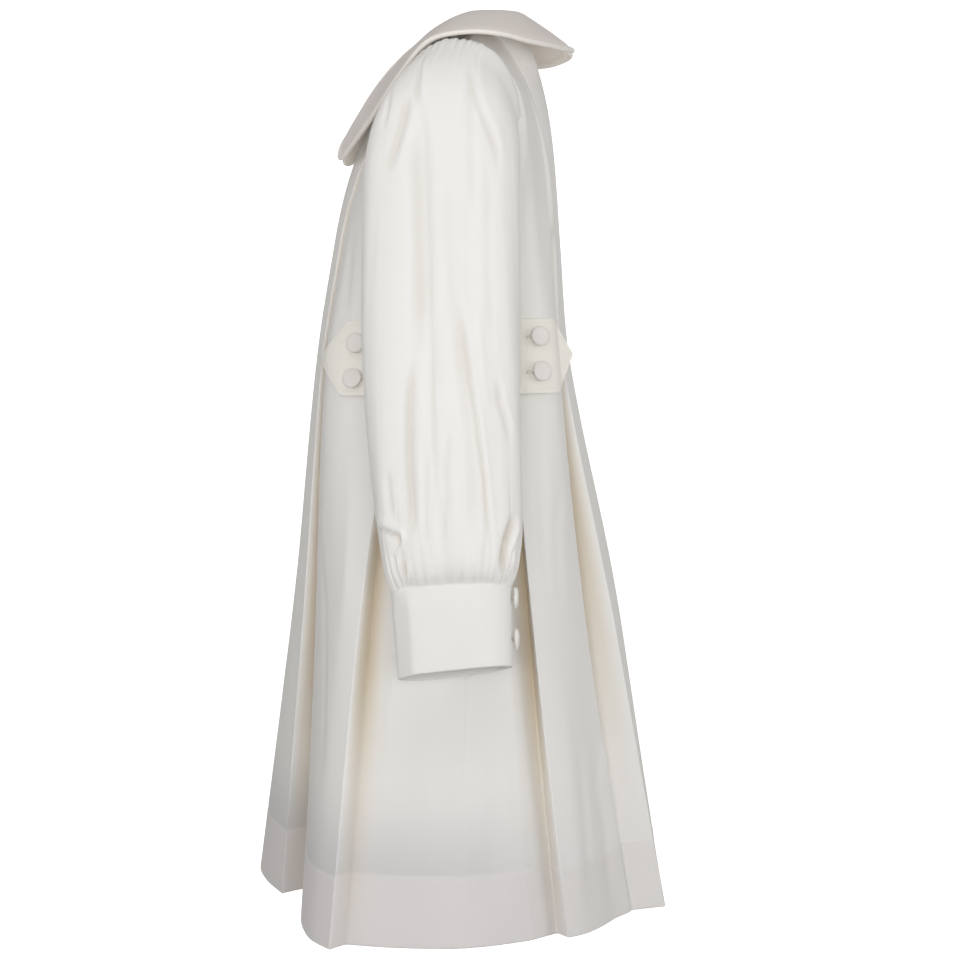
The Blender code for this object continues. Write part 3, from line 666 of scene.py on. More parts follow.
def sleeveGrid(seed):
    rings = len(sleeveRings) - 1
    places = np.linspace(0, rings, rings * sleeve["rowsPerRing"] + 1)
    degrees = -360 * np.arange(sleeve["columns"]) / sleeve["columns"]
    grid = sleeveSurface(places, degrees)
    normals = gridNormals(grid, True)
    arc = np.cumsum(np.linalg.norm(np.roll(grid, -1, 1) - grid, axis=-1), axis=1)
    fromTop = walked(grid)
    fromCuff = fromTop[-1:] - fromTop
    height = np.zeros_like(arc)
    chance = np.random.RandomState(seed)
    for seam, far in (("head", fromTop), ("cuff", fromCuff)):
        height += gatherHeight(sleeve["gathers"][seam], chance, arc, far, degrees)
    for line, depth, width, ridge in foldLines(grid, normals):
        height += creaseHeight(grid, normals, line, depth, width, ridge)
    # the cloth's own slight unevenness, long and soft
    turn = np.radians(degrees)[None, :]
    x, y = [7 + sleeve["waveTurn"] * part for part in (np.cos(turn), np.sin(turn))]
    calm = ramp(fromTop, 0, sleeve["calm"]) * ramp(fromCuff, 0, sleeve["calm"])
    (high, wide, long), (low, short) = sleeve["waves"], sleeve["ripples"]
    height += high * calm * softNoise(x + fromTop / wide, y + fromTop / long, seed + 1)
    height += low * calm * softNoise(3 * x + fromTop / short, 3 * y, seed + 2)
    # little moves at the two seams, and the cloth puffs out past them
    height *= np.clip(fromTop / 2.0, 0.25, 1) * np.clip(fromCuff / 2.0, 0.25, 1)
    crown = np.cos(np.radians((degrees + sleeve["crownTurn"]) * sleeve["crownNarrowing"]))
    crown = np.clip(crown, 0, 1) ** sleeve["crownSharpness"]
    crown = crown * (np.abs((degrees + 180) % 360 - 180) < sleeve["crownLimit"])
    puff = relief(fromCuff, sleeve["cuffPuff"]) + relief(fromTop, sleeve["headPuff"])
    puff += relief(fromTop, sleeve["crownPuff"]) * crown
    # painted shade in the folds, deeper ones darker
    valley = ramp(-height, *sleeve["valley"])
    return grid + normals * (height + puff)[..., None], {"grain": grainLayer(arc, fromTop), "valley": valley}


def makeSleeves():
    for side, seed in (("left", 11), ("right", 47)):
        grid, layers = forSide(side, *sleeveGrid(seed))
        piece = clothPiece(f"sleeve_{side}", "sleeve_cloth", grid, sleeve["cloth"], layers, around=True)


makeSleeves()
print("sleeves made")

# body: front and back panels

# each row: x and y at the chest, the band, the middle and the hem, then the place along the upper edge,
# 0 to 1 along the neckline, 1 to 2 along the shoulder and 2 to 3 down the armhole
frontPanels = [
    [
        (0, -152, 0, -171, 0, -197.5, 0, -236, 0.00),
        (38, -150, 48, -169, 54, -193, 62, -224, 0.50),
        (70, -143, 90, -161, 103, -180.5, 117, -203, 0.94),
    ],
    [(71, -137.5, 87, -152, 96, -164, 101, -183, 1.02)],
    [
        (77, -139, 96, -156.5, 112, -167, 130, -180, 1.10),
        (100, -131, 120, -151, 152, -160, 185, -178, 1.45),
        (122, -115, 139, -134, 188, -149, 238, -173, 1.95),
        (136, -96, 149, -110, 216, -136, 284, -161, 2.22),
        (147, -76, 157, -84, 236, -117, 318, -141, 2.42),
    ],
    [(148, -71, 156, -78, 226, -103, 300, -126, 2.48)],
    [
        (155, -56, 160, -62, 238, -82, 309, -95, 2.62),
        (161, -36, 166, -38, 244, -48, 314, -58, 2.82),
        (163, -18, 168, -16, 246, -14, 315, -19, 3.00),
    ],
]

backPanels = [
    [
        (0, 83, 0, 94, 0, 146, 0, 186, 0.00),
        (42, 82, 50, 91, 64, 142, 84, 187, 0.50),
        (84, 76, 98, 84, 128, 134, 165, 186, 0.95),
    ],
    [(92, 73, 106, 73, 131, 103, 179, 152, 1.05)],
    [
        (101, 71, 124, 79, 150, 106, 188, 149, 1.15),
        (120, 63, 143, 73, 174, 96, 210, 134, 1.50),
        (136, 54, 154, 62, 200, 83, 238, 120, 1.95),
        (146, 44, 160, 46, 224, 66, 264, 102, 2.30),
        (153, 34, 163, 30, 238, 51, 278, 84, 2.52),
    ],
    [(154.5, 29, 161, 24, 226, 44, 262, 74, 2.58)],
    [
        (158.5, 16, 165, 12, 236, 26, 286, 50, 2.72),
        (162, 0, 167, -2, 244, 4, 304, 15, 2.88),
        (163, -18, 168, -16, 246, -14, 315, -19, 3.00),
    ],
]

body = {
    "levels": np.array([-890.0, -600.0, -345.0, -225.0]),  # hem, middle, band, chest
    "cloth": 1.1,
    "hemCloth": 2.0,
    "hemDepth": 64,
    "hemTint": 0.4,  # the share of the hem's tint where there is no painted shade toward the hem
    "worn": (-735, -835),  # heights where the painted shade toward the hem starts, and where it is full
    "lowShadeBack": (-7, 110),  # how far back it starts to fade, and where a tenth of it is left
    # how strong the painted shade inside each groove is
    "grooveShadeShare": 0.85,
    "rowSpacing": 6.2,
    "upperRows": 34,
    "overHem": 1.5,  # one more row this far over the hem, and one at this share of the way up from the chest
    "underEdge": 0.985,
    "besideHemLine": 1.6,  # and one on each side of the hem's stitching
    "columnSpacing": 6.5,
    "pressRadius": 2.4,
    "pressShare": 0.45,  # its limit, as a share of the way to the next column
    "seamGap": 0.2,
    "neck": {"half": 74, "front": 62, "back": 46, "sideZ": -6, "frontDrop": 30, "backRise": 2},
    "slopeOver": 20,  # how far below the chest its slope is taken from
    # the handles of the curve above it, as shares of its rise: how long they are, and how far down the
    # upper one points
    "reach": {"chest": 0.4, "neckFront": 0.30, "neckBack": 0.12, "shoulder": 0.42},
    "drop": {"neck": 0.34, "shoulder": 0.08, "arm": 0.25},
    "waves": [(0.75, 85, 210, 20, 5), (0.25, 31, 70, 9, 3)],
    "calm": 25,  # how far from a side seam the cloth's folds are full, in mm
    "seam": [(0.3, 1.6, 1.6), (-0.4, 0, 0.9)],  # it draws in
    "hemLine": [(-0.6, 0.8, 1.7), (0.45, -3.2, 2.2)],  # the stitching dents the cloth
    # the left half's folds, and the same on the right half: mirror, depth and width as shares, and the
    # shares of their length over which they fade
    "foldSides": [((1, 1, 1), (1, 1), (0.35, 0.2)), ((-1, 1, 1), (0.85, 1.1), (0.4, 0.15))],
    "calmRows": 6,  # rows at the upper edge over which they end
    # two more columns on each wall of a groove: how far across the wall, and its share of the shade
    "beforeValley": ((0.4, 0.75), (0.7, 0.95)),
    "afterValley": ((0.25, 0.6), (0.75, 0.2)),
    # each pleat's groove, deeper than the solid's: heights, then depth and shade at each
    "grooveLevels": (-890, -750, -640, -500, -345, -225, -120),
    "grooves": {
        "front": [((3, 5, 7, 8, 7, 3, 1), (0.15, 0.35, 0.75, 1.0, 1.0, 0.7, 0.4)),
                  ((0, 2, 5, 6, 3, 0, 0), (0.1, 0.35, 0.8, 0.9, 0.5, 0.0, 0.0))],
        "back": [((0, 2, 5, 9, 11, 2, 0), (0.0, 0.1, 0.45, 0.9, 1.0, 0.15, 0.0)),
                 ((0, 3, 7, 9, 4, 0, 0), (0.15, 0.45, 0.9, 1.0, 0.6, 0.0, 0.0))],
    },
    # the hem's stitching
    "stitchWidth": 0.6,
    "stitchLength": 1.9,
    "stitchGap": 0.5,
    "cut": {"front": (1.06, 0.92), "back": (1.06, 0.94)},
    "cutArea": {"front": 0.62, "back": 0.60},
}

# long soft folds of the left half, from top to bottom: how far back and how high, depth, half width, ridge
bodyFolds = {
    "front": [
        ([(-128, -205), (-131, -250), (-135, -305)], 1.4, 6.0, 0.5),
        ([(-146, -400), (-152, -500), (-154, -590), (-152, -760)], 1.6, 7.0, 0.3),
        ([(-128, -400), (-128, -500), (-132, -600)], -1.2, 7.0, 0.0),
        ([(-125, -690), (-125, -780), (-126, -885)], -1.3, 4.0, 0.0),
        ([(-88, -640), (-92, -740), (-96, -885)], 1.6, 11.0, 0.2),
        ([(-50, -660), (-48, -760), (-46, -885)], -1.4, 14.0, 0.0),
    ],
    "back": [
        ([(44, -150), (46, -205), (47, -260), (48, -300)], 1.7, 7.5, 0.4),
        ([(56, -390), (60, -480), (66, -580)], 1.3, 6.0, 0.4),
        ([(70, -390), (76, -500), (82, -600)], 1.2, 6.5, 0.3),
        ([(74, -600), (88, -740), (100, -885)], -1.4, 11.0, 0.0),
        ([(108, -640), (118, -740), (124, -800), (130, -885)], 1.8, 8.0, 0.25),
        ([(96, -700), (102, -780), (106, -850)], 1.3, 5.0, 0.3),
        ([(8, -660), (12, -770), (16, -885)], 1.6, 12.0, 0.3),
    ],
}


def neckPlace(position, side):
    angle = position * np.pi / 2
    neck = body["neck"]
    reach = neck["front"] if side < 0 else neck["back"]
    rise = -neck["frontDrop"] if side < 0 else neck["backRise"]
    return np.array([neck["half"] * np.sin(angle), side * reach * np.cos(angle),
                     neck["sideZ"] + rise * np.cos(angle)])


def upperEdge(top, side):
    shoulder = sleeveSurface(np.zeros(1), np.zeros(1))[0, 0]
    if top <= 1:
        place = neckPlace(top, side)
    elif top <= 2:
        place = neckPlace(1, side) * (2 - top) + shoulder * (top - 1)
    else:
        place = sleeveSurface(np.zeros(1), np.array([side * (top - 2) * 180.0]))[0, 0]
    gap = body["seamGap"]
    if top > 1:
        place[0] -= 2 * gap
    place[1] += side * gap * (1 if 1 <= top <= 2 else max(0, 1 - abs(top - 1.5) / 0.75))
    return place


def lowerPlaces(columns, heights):
    # every column at heights up to the chest level, smoothed through the four levels
    levels = body["levels"]
    places = np.array(columns)[:, :8].reshape(-1, 4, 2)[:, ::-1].transpose(1, 0, 2)
    low, high = [0, 0, 1, 2], [1, 2, 3, 3]
    slopes = (places[high] - places[low]) / (levels[high] - levels[low])[:, None, None]
    index = np.clip(np.searchsorted(levels, heights, side="left") - 1, 0, 2)
    span = (levels[index + 1] - levels[index])[:, None, None]
    t = (heights - levels[index])[:, None, None] / span
    grid = places[index] + (places[index + 1] - places[index]) * smooth(t)
    grid = grid + ((t ** 3 - 2 * t ** 2 + t) * slopes[index] + (t ** 3 - t ** 2) * slopes[index + 1]) * span
    return np.concatenate([grid, heights[:, None, None] + 0 * grid[..., :1]], axis=-1)


def upperPlaces(columns, steps, side):
    # from the chest up to the neckline, shoulder and armhole, on a Bezier curve for each column
    chest = body["levels"][3]
    pair = lowerPlaces(columns, np.array([chest - body["slopeOver"], chest]))
    start, below = pair[1], pair[0]
    end = np.array([upperEdge(top, side) for top in columns[:, 8]])
    rise = (end[:, 2] - start[:, 2])[:, None]
    top = columns[:, 8]
    neckPart = np.clip(1 - top / 2, 0, 1)
    armPart = np.clip(top - 2, 0, 1)
    neckReach = body["reach"]["neckFront" if side < 0 else "neckBack"]
    shoulderReach = body["reach"]["shoulder"]
    forward = (shoulderReach + (neckReach - shoulderReach) * neckPart) * (1 - armPart) ** 2
    drop = body["drop"]["shoulder"] + (body["drop"]["neck"] - body["drop"]["shoulder"]) * neckPart
    drop = drop + body["drop"]["arm"] * armPart
    first = start + unit(start - below) * rise * body["reach"]["chest"]
    second = end + np.stack([0 * drop, side * forward, -drop], -1) * rise
    t = steps[:, None, None]
    return start * (1 - t) ** 3 + first * 3 * (1 - t) ** 2 * t + second * 3 * (1 - t) * t ** 2 + end * t ** 3


def fineColumns(panels):
    # more columns between the table's rows, and the places where the cloth is pressed into an edge
    columns, marks = [], []
    count = 0
    for number, panel in enumerate(panels):
        table = np.array(panel, dtype=float)
        places = [0.0]
        for k in range(len(table) - 1):
            wide = np.hypot(*(table[k + 1, 6:8] - table[k, 6:8]))
            steps = max(3, int(round(wide / body["columnSpacing"])))
            places += [k + (j + 1) / steps for j in range(steps)]
        if number == 0:
            # a mirrored row past the middle keeps the cloth smooth across it
            table = np.vstack([table[1] * np.array([-1, 1] * 4 + [-1]), table])
            places = [place + 1 for place in places]
        made = smoothRows(table, np.array(places))
        if number > 0:
            marks.append(count)
        if number < len(panels) - 1 and len(table) > 1:
            marks.append(count + len(made) - 1)
        columns.append(made)
        count += len(made)
    return np.concatenate(columns), sorted(set(marks))


def pressEdges(grid, marks, shade):
    # turns each marked column into a small round of five
    parts, tints = [], []
    done = 0
    for mark in marks:
        parts.append(grid[:, done:mark])
        tints.append(shade[:, done:mark])
        here, before, after = grid[:, mark], grid[:, mark - 1], grid[:, mark + 1]
        reach = np.minimum(np.linalg.norm(before - here, axis=1), np.linalg.norm(after - here, axis=1))
        reach = np.minimum(reach * body["pressShare"], body["pressRadius"])[:, None]
        a, b = here + unit(before - here) * reach, here + unit(after - here) * reach
        for t in (0.0, 0.25, 0.5, 0.75, 1.0):
            parts.append(bend(a, here, b, t)[:, None])
            tints.append(shade[:, mark:mark + 1])
        done = mark + 1
    parts.append(grid[:, done:])
    tints.append(shade[:, done:])
    return np.concatenate(parts, axis=1), np.concatenate(tints, axis=1)


def deepenGrooves(grid, marks, grooves):
    # pushes each valley in, adds two columns on both of its walls, and shades the deepest part
    shade = np.zeros(grid.shape[:2])
    valleys = [mark for mark in marks if mark - 1 in marks and mark + 1 in marks]
    for number in reversed(range(len(valleys))):
        valley = valleys[number]
        depths, shades = [np.interp(grid[:, valley, 2], body["grooveLevels"], row) for row in grooves[number]]
        inward = grid[:, valley] - (grid[:, valley - 1] + grid[:, valley + 1]) / 2
        inward[:, 2] = 0
        grid[:, valley] += unit(inward) * depths[:, None]
        shade[:, valley] = shades
        for at, (shares, darks) in ((valley + 1, body["afterValley"]), (valley, body["beforeValley"])):
            new = np.stack([grid[:, at - 1] * (1 - t) + grid[:, at] * t for t in shares], axis=1)
            grid = np.insert(grid, [at, at], new, axis=1)
            shade = np.insert(shade, [at, at], shades[:, None] * np.array(darks), axis=1)
            marks = [mark + 2 if mark >= at else mark for mark in marks]
    return grid, marks, shade


def bodyGrid(panels, side, grooves):
    columns, marks = fineColumns(panels)
    levels = body["levels"]
    hemLine = levels[0] + body["hemDepth"]
    count = int((levels[3] - levels[0]) / body["rowSpacing"])
    extra = [levels[0] + body["overHem"], hemLine - body["besideHemLine"], hemLine,
             hemLine + body["besideHemLine"]]
    heights = np.unique(np.concatenate([np.linspace(levels[0], levels[3], count), extra]))
    steps = np.linspace(0, 1, body["upperRows"] + 1)[1:]
    steps = np.sort(np.concatenate([steps, [body["underEdge"]]]))
    grid = np.concatenate([lowerPlaces(columns, heights), upperPlaces(columns, steps, side)])
    grid, marks, shade = deepenGrooves(grid, marks, grooves)
    grid, shade = pressEdges(grid, marks, shade)
    grid[:, -1, 1] += side * body["seamGap"]
    return grid, shade


def makeBody():
    for name, panels, side, seed in (("front", frontPanels, -1, 3), ("back", backPanels, 1, 8)):
        near, shade = bodyGrid(panels, side, body["grooves"][name])
        full = np.concatenate([mirrorGrid(near)[:, :-1], near], axis=1)
        shade = np.concatenate([shade[:, ::-1][:, :-1], shade], axis=1)
        if side > 0:
            full, shade = full[:, ::-1].copy(), shade[:, ::-1].copy()
        normals = gridNormals(full)
        arc = walked(full, 1)
        half = full.shape[1] // 2
        across = arc - arc[:, half:half + 1]
        down = full[..., 2] - body["levels"][0]
        height = np.zeros(full.shape[:2])
        for spots, depth, width, ridge in bodyFolds[name]:
            line = sidePlaces(full, spots, normals)
            for mirror, (deep, wide), ends in body["foldSides"]:
                height += creaseHeight(full, normals, line * mirror, depth * deep, width * wide, ridge, ends)
        height += slowWaves(body["waves"], across, down, seed)
        sewn = np.minimum(arc, arc[:, -1:] - arc)
        height *= ramp(sewn, 0, body["calm"])
        height[-body["calmRows"]:] *= np.linspace(1, 0, body["calmRows"])[:, None]
        height += relief(sewn, body["seam"]) + relief(down - body["hemDepth"], body["hemLine"])
        full = full + normals * height[..., None]
        hem = ramp(down - body["hemDepth"], 1, -1)
        thick = body["cloth"] + (body["hemCloth"] - body["cloth"]) * hem
        # greyer toward the hem, less so toward the back: painted shade where less light reaches
        worn = smooth(ramp(full[..., 2], *body["worn"])) * (1 - 0.9 * ramp(full[..., 1], *body["lowShadeBack"]))
        # the doubled hem's tint: its own warmer tone, and darker as painted shade near the bottom
        layers = {"grain": grainLayer(across, down), "groove": shade * body["grooveShadeShare"], "worn": worn,
                  "double": hem * (body["hemTint"] + (1 - body["hemTint"]) * worn)}
        piece = clothPiece(name, "body_cloth", full, thick, layers)
        row = int(np.abs(down[:, 0] - body["hemDepth"]).argmin())
        stitches = stitchRun(f"{name}_hem_stitching", full[row, 2:-2], gridNormals(full)[row, 2:-2], body)


makeBody()
print("body made")

# covered buttons and their buttonholes

button = {
    "radius": 10.0,
    "seatGap": 0.4,
    "sides": 48,
    # share of the radius, and height over the seat in mm
    "profile": [(0.22, 0.0), (0.22, 1.2), (0.30, 1.6), (0.72, 1.5), (0.86, 1.7), (0.95, 2.2), (0.99, 2.9),
                (1.0, 3.5), (0.985, 4.1), (0.95, 4.6), (0.88, 5.1), (0.76, 5.5), (0.6, 5.85), (0.4, 6.1),
                (0.2, 6.25)],
    "top": 6.3,
    "tucks": 14,  # where the cloth is drawn together under the edge
    "tuckDepth": 0.012,
}
buttonhole = {
    "half": 11.5,
    "shift": 2.5,  # toward the middle of the band or cuff, so that one end shows beside the button
    "wide": 3.4,
    "pitch": 0.75,
    "height": 0.35,
    "fill": 0.95,  # each stitch's width as a share of the pitch, and how far from the slit it starts
    "start": 0.3,
    "endBar": (1.1, 1.2),  # width, and height as a share of the stitches'
    "slit": (0.4, 0.8, 0.12),  # how much shorter it is at each end, then its width and height
}


def buttonPlace(node):
    # where the solid sits, and which way it faces
    co = np.array([v.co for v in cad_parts[node].data.vertices]) / mm
    centre = (co.min(axis=0) + co.max(axis=0)) / 2
    normal = np.linalg.svd(co - co.mean(axis=0), full_matrices=False)[2][2]
    if "cuff" in node:
        outward = np.array([0, 1.0, 0])
    else:
        outward = np.array([np.sign(centre[0]), 0, 0])
    normal = normal * (1 if normal @ outward > 0 else -1)
    heights = (co - centre) @ normal
    return centre + normal * (heights.min() - button["seatGap"]), normal


def gridSpot(grid, row, column):
    # a point between the places of a grid
    row = min(max(row, 0), len(grid) - 1.001)
    column = min(max(column, 0), grid.shape[1] - 1.001)
    r, c = int(row), int(column)
    near = grid[r, c] * (c + 1 - column) + grid[r, c + 1] * (column - c)
    far = grid[r + 1, c] * (c + 1 - column) + grid[r + 1, c + 1] * (column - c)
    return near * (r + 1 - row) + far * (row - r)


def makeButtonhole(spot, grid, normals, toward):
    # satin stitches round a slit, drawn as a dark bar of painted shade; toward says which way it runs out
    # from under the button
    miss = np.linalg.norm(grid - buttonPlace(f"button_{spot}")[0], axis=-1)
    row, column = np.unravel_index(miss.argmin(), miss.shape)
    across = (grid[row, column + 1] - grid[row, column - 1]) / 2
    down = (grid[row + 1, column] - grid[row - 1, column]) / 2
    way = np.sign(across[1] * toward)
    half, wide, pitch, height = [buttonhole[key] for key in ("half", "wide", "pitch", "height")]
    low, high = buttonhole["shift"] - half, buttonhole["shift"] + half
    start, stitchWidth = buttonhole["start"], pitch * buttonhole["fill"]
    endWidth, endHeight = buttonhole["endBar"]
    shorter, slitWidth, slitHeight = buttonhole["slit"]
    # each bar's two ends, along the slit and across it, then its width and height; the slit comes last
    bars = []
    for k in range(int((high - low) / pitch)):
        a = low + (k + 0.5) * pitch
        bars += [((a, b * start), (a, b * wide / 2), stitchWidth, height) for b in (-1, 1)]
    bars += [((end, -wide / 2), (end, wide / 2), endWidth, height * endHeight) for end in (low, high)]
    bars.append(((low + shorter, 0), (high - shorter, 0), slitWidth, slitHeight))
    points, faces = [], []
    pitchDown, pitchAcross = np.linalg.norm(down), way * np.linalg.norm(across)
    for *ends, width, rise in bars:
        places = [(row + b / pitchDown, column + a / pitchAcross) for a, b in ends]
        ends = [gridSpot(grid, *place) for place in places]
        threads = len(faces)
        normal = unit(gridSpot(normals, *places[0]))
        addBar(points, faces, ends, normal, width, rise, taper=0.6, lower=0, under=0.3)
    piece = meshObject(f"buttonhole_{spot}", np.array(points) * mm, np.array(faces))
    for material in (threadFinish, slitShadeFinish):
        piece.data.materials.append(material)
    for face in list(piece.data.polygons)[threads:]:
        face.material_index = 1
    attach(piece, "root")
    return piece


# cuffs

cuff = {
    "length": 77,
    "endY": -22.8,
    "endHalfDepth": 53.4,
    "endHalfWidth": 26.4,
    "endDip": 12,
    "power": 4.6,  # how square the outer half is, to the front and to the back
    "backPower": 2.4,
    "facetFrom": (1.0, 0.28),  # the front facet, as shares of the half depth and half width
    "facetTo": (0.70, 1.0),
    "facetSharpness": 50,
    "lapFrom": 72,  # degrees from the middle of the outside toward the back
    "lapTo": 108,
    "easeTo": 128,  # where the under layer is back on the form
    "lapGap": 0.8,
    "settle": 0.12,  # the share of its length in which it takes its pressed form
    "overSeam": 0.6,  # how far out from the sleeve's last ring it starts, and how far below
    "belowSeam": 0.3,
    "stitchLine": [(-0.35, 71.5, 1.5)],
    "waves": [(0.35, 24, 30, 3, 0)],
    "puckers": [(0.25, 3.4, 40, 0, 0)],  # fine ones at the seam, and how far they reach
    "puckerReach": 9,
    "cloth": 2.4,
    "columns": 170,
    "rows": 22,
    "cut": (0.30, 0.078),
}


def cuffEnd():
    # centre, half width and half depth of the open end, straight on from the sleeve's last ring
    centre, across, _ = ringFrame(sleeveRings[-1])
    across = unit(across)
    centre = centre + np.array([across[2], 0, -across[0]]) * cuff["length"]
    centre[1] = cuff["endY"]
    return centre, across * cuff["endHalfWidth"], np.array([0, cuff["endHalfDepth"], cuff["endDip"] / 2])


def cuffTurn(degrees):
    # shares of the half width and half depth round a cuff: flat outside, with a pressed facet to the front
    turn = np.radians(degrees)
    cosine, sine = np.cos(turn), np.sin(turn)
    power = np.where(cosine > 0, np.where(sine < 0, cuff["power"], cuff["backPower"]), 2.0)
    reach = (np.abs(cosine) ** power + np.abs(sine) ** power) ** (-1 / power)
    (deepA, wideA), (deepB, wideB) = cuff["facetFrom"], cuff["facetTo"]
    slope = (wideB - wideA) / (deepA - deepB)
    cut = (wideA + slope * deepA) / np.maximum(cosine + slope * np.maximum(-sine, 0), 0.2)
    sharp = cuff["facetSharpness"]
    shorter = (reach ** -sharp + cut ** -sharp) ** (-1 / sharp)
    reach = np.where((cosine > 0) & (sine < 0), shorter, reach)
    return reach * cosine, reach * sine


def ringPlaces(ring, turned, spread):
    centre, across, along = ring
    wide, deep = [part[:, None] for part in turned]
    outward = unit(unit(across) * wide + unit(along) * deep)
    return centre + across * wide + along * deep + outward * spread[:, None]


def cuffPlaces(steps, degrees, inset):
    # from the sleeve's last ring to the open end, taking its pressed form on the way
    last = sleeve["squareness"][-1]
    plain = [part[0] for part in roundedTurn(degrees, [last], [last * sleeve["backSquareness"]])]
    top = ringFrame(sleeveRings[-1])
    end = ringPlaces(cuffEnd(), cuffTurn(degrees), -inset)
    steps = steps[:, None, None]
    settle = bump(steps, 0, cuff["settle"])
    grid = 0
    for turned, share in ((plain, settle), (cuffTurn(degrees), 1 - settle)):
        start = ringPlaces(top, turned, cuff["overSeam"] - inset)
        start = start + unit(end - start) * cuff["belowSeam"]
        grid = grid + (start * (1 - steps) + end * steps) * share
    return grid


def makeCuffs():
    degrees = np.linspace(cuff["lapFrom"], 360 + cuff["lapTo"], 900)
    lengths = walked(ringPlaces(cuffEnd(), cuffTurn(degrees), 0 * degrees))
    degrees = np.interp(np.linspace(0, lengths[-1], cuff["columns"]), lengths, degrees)
    under = (cuff["cloth"] + cuff["lapGap"]) * ramp(degrees, cuff["easeTo"], cuff["lapTo"])
    steps = np.linspace(0, 1, cuff["rows"])
    for side, seed in (("left", 21), ("right", 29)):
        grid = cuffPlaces(steps, degrees, under)
        around = walked(grid[0])[None, :] + 0 * steps[:, None]
        down = steps[:, None] * cuff["length"] + 0 * around
        height = slowWaves(cuff["puckers"], around, down, seed + 1) * np.exp(-down / cuff["puckerReach"])
        height += slowWaves(cuff["waves"], around, down, seed) + relief(down, cuff["stitchLine"])
        grid = (grid - gridNormals(grid) * height[..., None])[::-1]
        grid, layers = forSide(side, grid, {"grain": grainLayer(around, down[::-1])})
        piece = clothPiece(f"cuff_{side}", "cuff_cloth", grid, cuff["cloth"], layers, rimSteps=5)
        holes = [makeButtonhole(f"cuff_{side}_{number}", grid, gridNormals(grid), -1) for number in (1, 2)]


makeCuffs()
print("cuffs made")

# collar

# place along the neckline, roll x y z, edge x y z, and how far the fall's middle is lifted
collarRibs = np.array([
    (0.05, 5, -63, -18, 23, -135, -110, 26),
    (0.08, 7, -63, -17, 30, -145, -127, 26),
    (0.14, 12, -62, -15, 46, -146, -140, 26),
    (0.27, 24, -57, -12, 72, -136, -134, 24),
    (0.46, 40, -46, -5, 116, -109, -101, 19),
    (0.70, 56, -28, 3, 149, -79, -62, 11),
    (0.88, 64, -10, 8, 161, -51, -32, 8),
    (1.00, 67, 4, 9, 165, -15, -23.5, 6),
    (1.20, 63, 22, 9.5, 160, 20, -25, 5),
    (1.45, 50, 36, 10, 137, 49, -30, 4),
    (1.70, 30, 43, 10.5, 98, 77, -31, 3),
    (1.86, 16, 46, 10.5, 56, 94, -29, 1),
    (1.93, 8, 47, 10, 24, 99, -27.5, 0),
    (1.97, 4, 47, 10, 9, 95, -24, 0),
])

collar = {
    "cloth": 2.2,
    "edgeCloth": 5.0,
    "columnsPerRib": 11,
    "rows": 46,
    "seamIn": 1.0,
    "seamUp": 1.2,
    "standLean": 2.0,
    "standPart": 0.55,
    "fallSteps": (0.12, 0.3, 0.5, 0.68, 0.84, 0.95, 1.0),  # shares of the way from the roll to the edge
    "rowPower": 0.9,  # rows closer together toward the edge
    "thicken": (0.35, 1.3),  # share of the fall from which the cloth thickens, and how late it does so
    "edgeRoll": [(-1.3, 5.5, 1.9), (0.6, 1.0, 2.6)],  # a shallow groove, and the roll outside it
    "edgeHighlight": (6.5, 5.0),  # how far in the edge's painted highlight starts, and where it is full
    "waves": [(0.8, 60, 50, 4, 0)],
    "calm": (0.2, 0.533333),  # shares of the fall where the waves start, and where they are full
    "cut": (0.34, 0.20),
    "cutArea": 0.041,
}


def collarProfile(rib):
    side = -1 if rib[0] <= 1 else 1
    seam = neckPlace(rib[0] if rib[0] <= 1 else 2 - rib[0], side)
    inward = unit(np.array([-seam[0], -seam[1], 0.0]))
    seam = seam + inward * collar["seamIn"] + np.array([0, 0, collar["seamUp"]])
    roll, edge = rib[1:4], rib[4:7]
    lean = seam * (1 - collar["standPart"]) + roll * collar["standPart"] + inward * collar["standLean"]
    middle = (roll + edge) / 2 + np.array([0, 0, rib[7]])
    steps = collar["fallSteps"]
    points = [seam, lean, roll * (1 - steps[0]) + lean * steps[0]]
    points += [bend(roll, middle, edge, t) for t in steps]
    fine = smoothRows(points, np.linspace(0, len(points) - 1, 90))
    lengths = walked(fine)
    # the half round edge adds half the cloth, so the rows end that much earlier
    stop = lengths[-1] - collar["edgeCloth"] / 2
    return placeAt(fine, lengths, np.linspace(0, 1, collar["rows"]) ** collar["rowPower"] * stop)


def makeCollar():
    count = (len(collarRibs) - 1) * collar["columnsPerRib"] + 1
    ribs = smoothRows(collarRibs, np.linspace(0, len(collarRibs) - 1, count))
    grid = np.stack([collarProfile(rib) for rib in ribs], axis=1)[:, ::-1]
    normals = gridNormals(grid)
    down, along = walked(grid), walked(grid, 1)
    around = along[-1:] + 0 * down
    share = down / down[-1:]
    fromEdge = np.minimum(down[-1:] - down, np.minimum(along, along[:, -1:] - along))
    low, power = collar["thicken"]
    thick = collar["cloth"] + (collar["edgeCloth"] - collar["cloth"]) * ramp(share, low, 1) ** power
    # painted highlight along the rolled edge
    edge = ramp(fromEdge, *collar["edgeHighlight"])
    layers = {"grain": grainLayer(around, down), "edge": edge, "thick": thick}
    for side, seed in (("left", 31), ("right", 37)):
        height = slowWaves(collar["waves"], around, down, seed) * ramp(share, *collar["calm"])
        height += relief(fromEdge, collar["edgeRoll"])
        made, nowLayers = forSide(side, grid + normals * height[..., None], dict(layers))
        nowThick = nowLayers.pop("thick")
        piece = clothPiece(f"collar_{side}", "collar_cloth", made, nowThick, nowLayers, rimSteps=7)


makeCollar()
print("collar made")

# side bands

